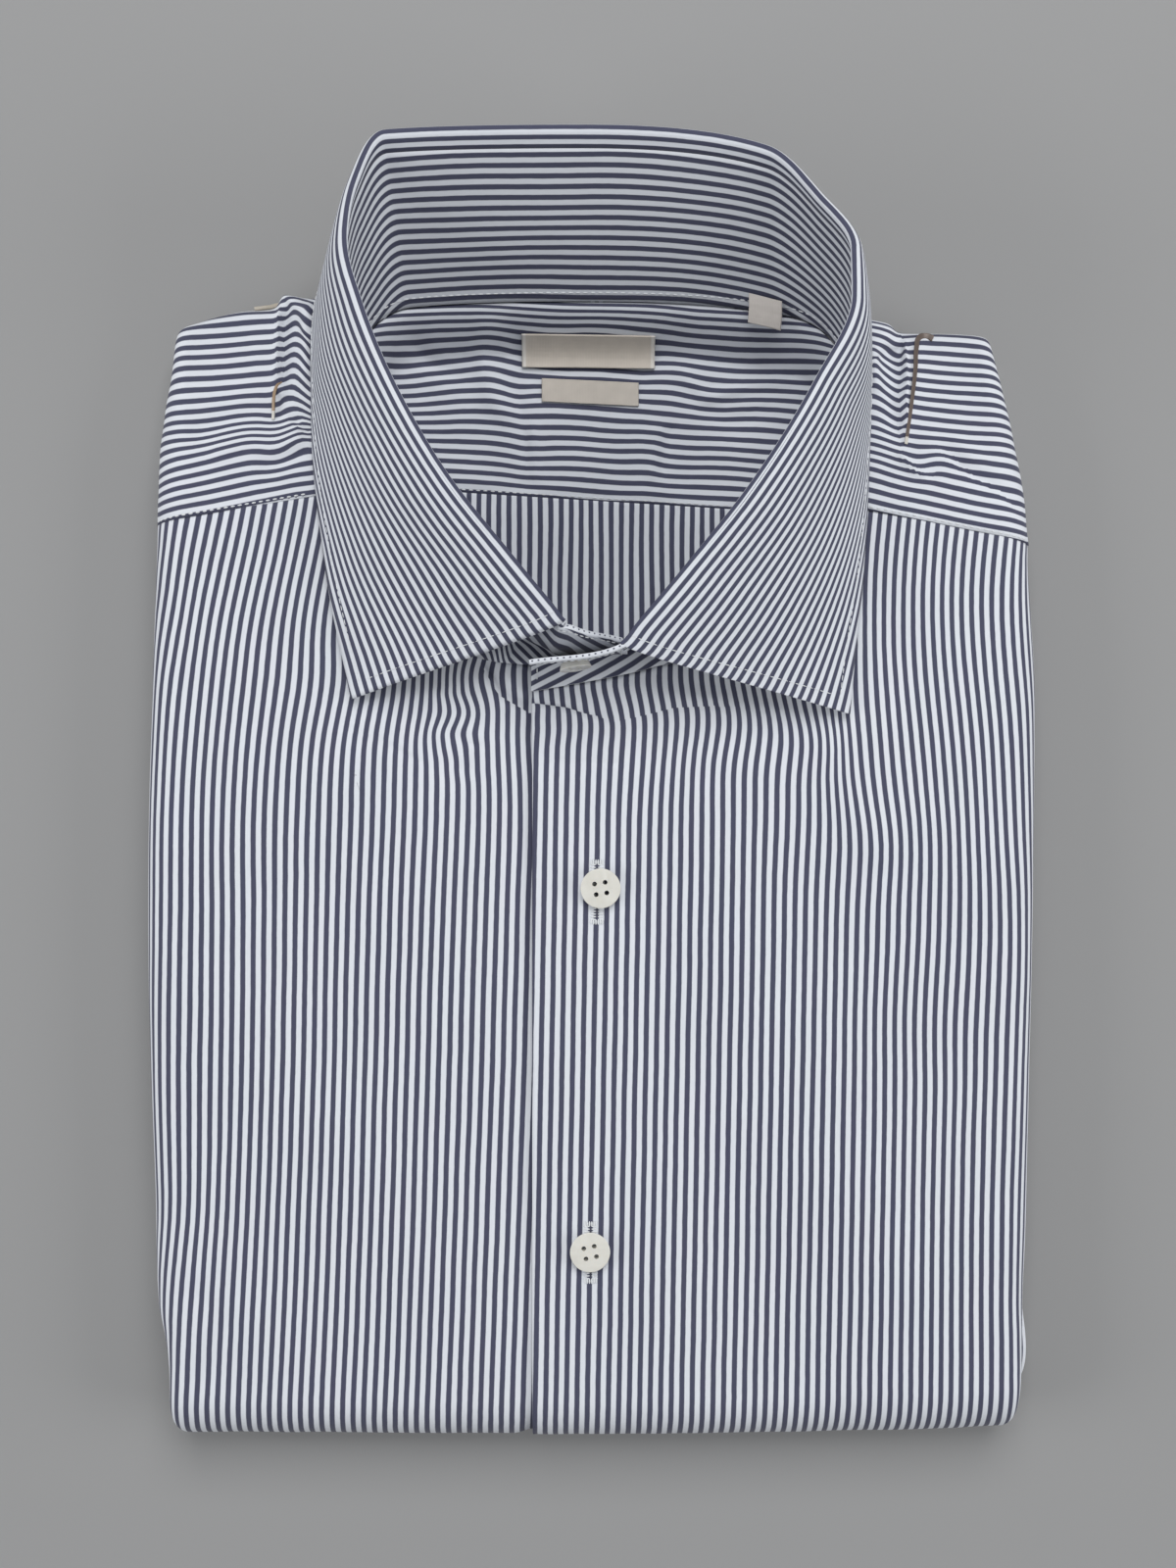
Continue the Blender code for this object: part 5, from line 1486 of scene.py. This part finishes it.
def buttonholes(cloth, thread):
    """Two sides of close stitches round a cut, with a bar at each end, under each button."""
    sides, bars, slits = [], [], []
    for x, top, foot in BUTTONHOLES:
        for aside in (x - BUTTONHOLE_SIDE, x + BUTTONHOLE_SIDE):
            sides.append(surface_line(cloth, [(aside, top), (aside, foot)]))
        for y in (top + 0.3, foot - 0.3):
            ends = [(x - BUTTONHOLE_BAR, y), (x + BUTTONHOLE_BAR, y)]
            bars.append(surface_line(cloth, ends, 0.4))
        slits.append(surface_line(cloth, [(x, top - 0.8), (x, foot + 0.8)]))
    stitched("buttonhole_sides", sides, thread, pitch=0.72, length=1.75, width=0.52, across=True)
    stitched("buttonhole_bars", bars, thread, 0.6, length=1.5, width=0.5, across=True, lift=0.12)
    # Dark bars along each cut: painted shade in the slit.
    stitched("buttonhole_slit_shadows", slits, cut_shadow(), pitch=3.2, length=3.8, width=0.34, lift=0.0)


# ---------------------------------------------------------------- labels


LABEL_WALL = 0.35
LABELS = (  # name, node, middle, top, width, length and tilt
    ("neck_label", "label_main", -0.7, 122.0, 36.4, 7.8, -0.015),
    ("care_label", "label_small", -0.2, 110.8, 26.6, 6.4, -0.05),
)
SIZE_TAG = ((42.1, 130.9, 25.9), (42.2, 127.4, 24.4), (42.0, 123.6, 23.4))
SIZE_TAG_WIDTH = (8.8, -2.3, 0.4)
BARE_ENDS = 40.0  # a half width past the tape's own, so that its ends aren't paler


def neck_label(row, floor_height, material):
    """A label laid over the cloth's swells without following them."""
    name, node, middle, top, width, length, tilt = row
    spans = np.linspace(-width / 2, width / 2, 74), np.linspace(0, length, 30)
    across, down = np.meshgrid(*spans, indexing="ij")
    x = middle + across
    y = top - down + tilt * across
    under = floor_height(x, y)
    a, b = 2 * across / width, 2 * down / length - 1
    terms = np.stack([np.ones_like(a), a, b, a * b, a * a, b * b], axis=-1).reshape(-1, 6)
    even = (terms @ np.linalg.lstsq(terms, under.ravel(), rcond=None)[0]).reshape(under.shape)
    z = even + np.max(under - even) + 0.55 + ripple(x, y, 14, 9, 111.0 + top) * 0.15
    points, weave = np.stack([x, y, z], axis=-1), np.stack([across, y], axis=-1)
    made = cloth_sheet(name, points, weave, LABEL_WALL)
    finish_cloth(made, node, material)


def size_tag(material):
    """A loop of tape that hangs from the neck seam, held at one side."""
    edge = np.array(SIZE_TAG)
    t = np.linspace(0, 1, 26)
    u = np.linspace(0, 1, 24)[:, None]
    left = np.stack([np.interp(t, [0, 0.5, 1], edge[:, k]) for k in range(3)], axis=-1)
    left[:, 2] += 0.5 * np.sin(t * math.pi)
    points = left[None, :, :] + u[..., None] * np.array(SIZE_TAG_WIDTH)
    points[..., 2] += 0.5 + 0.28 * np.sin(u * math.pi) * t
    weave = np.stack([u * SIZE_TAG_WIDTH[0] + 0 * t, points[..., 1]], axis=-1)
    made = cloth_sheet("size_tab", points, weave, LABEL_WALL)
    finish_cloth(made, "size_tag", material)


def labels(floor_height):
    beige = woven_tape("label_tape", (0.50, 0.45, 0.39), (0.60, 0.57, 0.53), LABELS[0][4] / 2)
    small = woven_tape("care_tape", (0.50, 0.455, 0.40), (0.50, 0.455, 0.40), BARE_ENDS)
    for row, tape in zip(LABELS, (beige, small)):
        neck_label(row, floor_height, tape)
    size_tag(woven_tape("size_tape", (0.46, 0.425, 0.395), (0.46, 0.425, 0.395), BARE_ENDS))


# ---------------------------------------------------------------- clips


# Places along each clip, and its height over (or, under the cloth, below) the shoulder there.
CLIP_LEFT_BEHIND = ((-92.0, 129.9, 13.0), (-88.0, 130.4, 13.0), (-84.6, 130.6, 13.6))
CLIP_LEFT = (
    (-83.0, 127.0, -2.6), (-81.8, 118.0, -3.0), (-82.6, 110.0, -2.4),
    (-84.5, 106.0, 0.30), (-85.3, 97.8, 0.30),
)
CLIP_RIGHT = (
    (92.6, 120.6, 0.30), (90.6, 121.4, 0.42), (88.9, 120.9, 0.45), (88.0, 118.0, 0.35),
    (87.4, 112.0, 0.30), (86.0, 102.0, 0.30), (84.3, 91.0, 0.30),
)
CLIP_PALE = (0.62, 0.60, 0.55)
AMBER_BANDS = ((0, CLIP_PALE), (100.0, (0.34, 0.24, 0.15)), (120.0, (0.45, 0.41, 0.34)))
DARK_BANDS = ((0, CLIP_PALE), (92.4, (0.13, 0.10, 0.085)))


def wire_piece(name, route, half_width, radius, material, node, narrower):
    """A flattened wire bent along a route, with rounded edges, getting narrower to its end."""
    curve = bpy.data.curves.new(name, "CURVE")
    curve.dimensions = "3D"
    curve.resolution_u = 10
    curve.extrude = half_width * MM
    curve.bevel_depth = radius * MM
    curve.bevel_resolution = 4
    curve.use_fill_caps = True
    spline = curve.splines.new("BEZIER")
    spline.bezier_points.add(len(route) - 1)
    for k, (point, place) in enumerate(zip(spline.bezier_points, route)):
        point.co = to_frame(place)
        point.radius = 1 + (narrower - 1) * k / (len(route) - 1)
        point.tilt = math.pi / 2
        point.handle_left_type = point.handle_right_type = "AUTO"
    select_only(add_object(name, curve))
    bpy.ops.object.convert(target="MESH")
    bpy.ops.object.shade_smooth_by_angle(angle=math.radians(40))
    return finish_piece(bpy.context.object, material, node)


def over_cloth(made, places):
    found = [dropped(made, x, y) for x, y, _ in places]
    return [(x, y, met[0].z / MM + over) for (x, y, over), met in zip(places, found)]


def clips(shoulders):
    amber = clip_finish("amber_clip", AMBER_BANDS, 0.35, 0.0)
    dark = clip_finish("dark_wire", DARK_BANDS, 0.4, 0.2)
    left = [*CLIP_LEFT_BEHIND, *over_cloth(shoulders, CLIP_LEFT)]
    right = over_cloth(shoulders, CLIP_RIGHT)
    wire_piece("left_clip", left, 0.30, 0.30, amber, "clip_left", 0.8)
    wire_piece("right_clip", right, 0.66, 0.24, dark, "clip_right", 0.55)


# ---------------------------------------------------------------- hidden folds


PLY_PITCH = 2.3  # height from one hidden fold to the next
PLY_DEPTH = 0.45
PLY_FROM = 8.6  # above the sleeves
FOLDS_EDGE = 3.2  # no edge of the folds' mesh is longer


def folded_cloth(material):
    """The layers folded up inside: plies a few millimetres apart, drawn in between their folds."""
    bpy.ops.object.select_all(action="DESELECT")
    made = add_object("inner_layers", bpy.data.objects["folded_layers"].data.copy())
    made.data.name = "inner_layers"
    work = bmesh.new()
    work.from_mesh(made.data)
    bmesh.ops.remove_doubles(work, verts=work.verts, dist=0.00002)
    flat_angle = math.radians(0.5)
    bmesh.ops.dissolve_limit(work, angle_limit=flat_angle, verts=work.verts, edges=work.edges)
    bmesh.ops.triangulate(work, faces=work.faces)
    for _ in range(3):
        long = [edge for edge in work.edges if edge.calc_length() > FOLDS_EDGE * MM]
        bmesh.ops.subdivide_edges(work, edges=long, cuts=1)
        bmesh.ops.triangulate(work, faces=work.faces)
    work.normal_update()
    for vert in work.verts:
        level = Vector((vert.normal.x, vert.normal.y, 0.0))
        x, y, z = vert.co / MM
        uneven = z + 0.6 * noise.noise(Vector((x / 40, y / 40, 3.0)))
        wave = 0.5 + 0.5 * math.sin(2 * math.pi * uneven / PLY_PITCH)
        above = min(1.0, max(0.0, (z - PLY_FROM) / 1.5))
        vert.co -= level * PLY_DEPTH * wave * level.length * above * MM
    work.to_mesh(made.data)
    work.free()
    # Its material is the cloth darkened: painted shade between the plies.
    finish_piece(made, material, "folded_layers")


# ---------------------------------------------------------------- floor, lights and camera


CAMERA_HEIGHT = 520.0  # over the pack
VIEW_HEIGHT = 419.2  # seen from top to bottom at the pack's level
LIGHTS = (  # name, place, size and power
    ("key", (0.10, 0.80, 1.25), 0.9, 14.5),
    ("left_box", (-1.15, -0.15, 0.60), 0.8, 7.6),
    ("right_box", (1.15, -0.15, 0.60), 0.8, 7.4),
)


def studio():
    paper = Finish("paper_floor")
    surface = {"Roughness": 0.95, "Specular IOR Level": 0.1}
    grain = paper.node("TexNoise", {"Scale": 400.0}).outputs["Fac"]
    floor_material = paper.done(rgba((0.288, 0.288, 0.288)), surface, (grain, 0.03, 0.0002))
    bpy.ops.mesh.primitive_plane_add(size=6.0, location=(0, 0, -0.0004))
    floor = bpy.context.object
    floor.name = "floor"
    floor.data.materials.append(floor_material)

    world = bpy.data.worlds.new("studio")
    world.use_nodes = True
    sky = world.node_tree.nodes["Background"]
    sky.inputs["Color"].default_value = (0.93, 0.96, 1.0, 1.0)
    sky.inputs["Strength"].default_value = 0.31
    bpy.context.scene.world = world
    for name, place, size, power in LIGHTS:
        light = bpy.data.lights.new(name, "AREA")
        light.shape = "SQUARE"
        light.size = size
        light.energy = power
        lamp = add_object(name, light)
        lamp.location = place
        lamp.rotation_mode = "QUATERNION"
        lamp.rotation_quaternion = (-Vector(place)).to_track_quat("-Z", "Y")

    view = bpy.data.cameras.new("front_view")
    view.sensor_width = 36.0
    view.lens = view.sensor_width * CAMERA_HEIGHT / VIEW_HEIGHT
    view.clip_start = 0.01
    camera = add_object("front_view", view)
    camera.location = to_frame((-0.8, 0.0, PACK + CAMERA_HEIGHT))
    bpy.context.scene.camera = camera
    bpy.context.scene.view_settings.view_transform = "Standard"


# ---------------------------------------------------------------- seams


LEAF_STITCH_INSET = 3.7
FRONT_ENDS_AT = 186, 192  # beyond these stations the band's ends are stitched, and their rims


def collar_stitches(stand_at, stand, leaf, thread, dark_thread):
    """Topstitching inside the leaf's edges, along the band's top and end, and at the neck seam."""
    out = -surface_normals(leaf)
    first = len(LEAF_UP) + 3
    edges = ((1, True, 3, -3), (0, False, first, -4), (0, True, first, -4))
    rows = [
        inset_line(leaf, out, axis, end, LEAF_STITCH_INSET, start, stop)
        for axis, end, start, stop in edges
    ]
    stitched("leaf_stitches", rows, thread, pitch=1.9, length=1.6, width=0.24, lift=0.03)
    back_at = np.linspace(-88, 90, 110)
    foot = stand_points(back_at, (0.0, 1.0))
    line = foot[:, 0] + unit(foot[:, 1] - foot[:, 0]) * 2.6
    seam = [(line, -collar_frame(back_at)[3])]
    stitched("neck_seam_stitches", seam, thread, pitch=2.0, length=1.4, width=0.34, lift=0.12)
    inside = -surface_normals(stand)
    outer = stand - inside * (COLLAR + 0.05)
    ends, rims = [], []
    for side in (1, -1):
        keep = side * stand_at > FRONT_ENDS_AT[0]
        part, way = outer[keep], -inside[keep]
        ends.append(inset_line(part, way, 1, True, 1.3, 2, -2))
        ends.append(inset_line(part, way, 0, side > 0, 1.6, 4, -3))
        keep = side * stand_at > FRONT_ENDS_AT[1]
        top = stand[keep][:, -1] - inside[keep][:, -1] * 0.35 * COLLAR
        rims.append((top, unit(stand[keep][:, -1] - stand[keep][:, -2])))
    stitched("band_stitches", ends, thread, pitch=1.7, length=1.25, width=0.36, lift=0.14)
    stitched("band_edge_stitches", rims, dark_thread, pitch=1.55, length=0.55, width=0.5, lift=0.02)


def seam_stitches(shoulders, neck, thread, dark_thread):
    """A row beside each shoulder seam and the seam across the inside of the back."""

    def beside(cloth, ends, seam_y, above):
        places = [(x, float(seam_y(x)) + above) for x in np.linspace(*ends, 12)]
        return surface_line(cloth, places)

    left, right, back = (-117, -76), (74, 117), (-50, 52)
    rows = [beside(shoulders, ends, shoulder_seam_y, 0.75) for ends in (left, right)]
    stitched("shoulder_stitches", rows, thread, pitch=1.9, length=1.2, width=0.46, lift=0.12)
    # Dark dashes in the needle holes just above the left seam: painted shade.
    holes = [beside(shoulders, left, shoulder_seam_y, 0.35)]
    stitched("shoulder_needle_hole_shadows", holes, dark_thread, 1.9, length=0.62, width=0.26, lift=0.02)
    across = [beside(neck, back, inner_seam_y, 0.8)]
    stitched("back_seam_stitches", across, thread, pitch=2.0, length=1.25, width=0.38, lift=0.1)


studio()
cotton = striped_cotton("cotton_stripe")
pale_edge = striped_cotton("cotton_pale_edge", pale=0.94)
# A darker copy of the cloth for the band's inside, where it stands in the neck: painted shade.
band_shade_cotton = striped_cotton("cotton_band_painted_shade", shade=0.86)
# A darker copy of the cloth for the plies folded up inside: painted shade between the layers.
hidden = striped_cotton("cotton_hidden_painted_shade", shade=0.8, on_object=True)
white_thread = twisted_thread("white_thread", (0.70, 0.72, 0.74))
navy_thread_and_shade = twisted_thread("navy_thread_and_shade", (0.10, 0.105, 0.15))
front(-1, cotton)
right_front = front(1, cotton)
shoulders = outer_yoke(cotton)
neck_cloth, floor_height = inner_yoke(cotton)
inner_back(cotton)
sleeve(-1, cotton)
sleeve(1, cotton)
folded_cloth(hidden)
stand_at, stand = collar_stand(band_shade_cotton, cotton, pale_edge)
leaf = collar_leaf(cotton)
collar_stitches(stand_at, stand, leaf, white_thread, navy_thread_and_shade)
seam_stitches(shoulders, neck_cloth, white_thread, navy_thread_and_shade)
buttonholes(right_front, white_thread)
shirt_buttons()
labels(floor_height)
clips(shoulders)
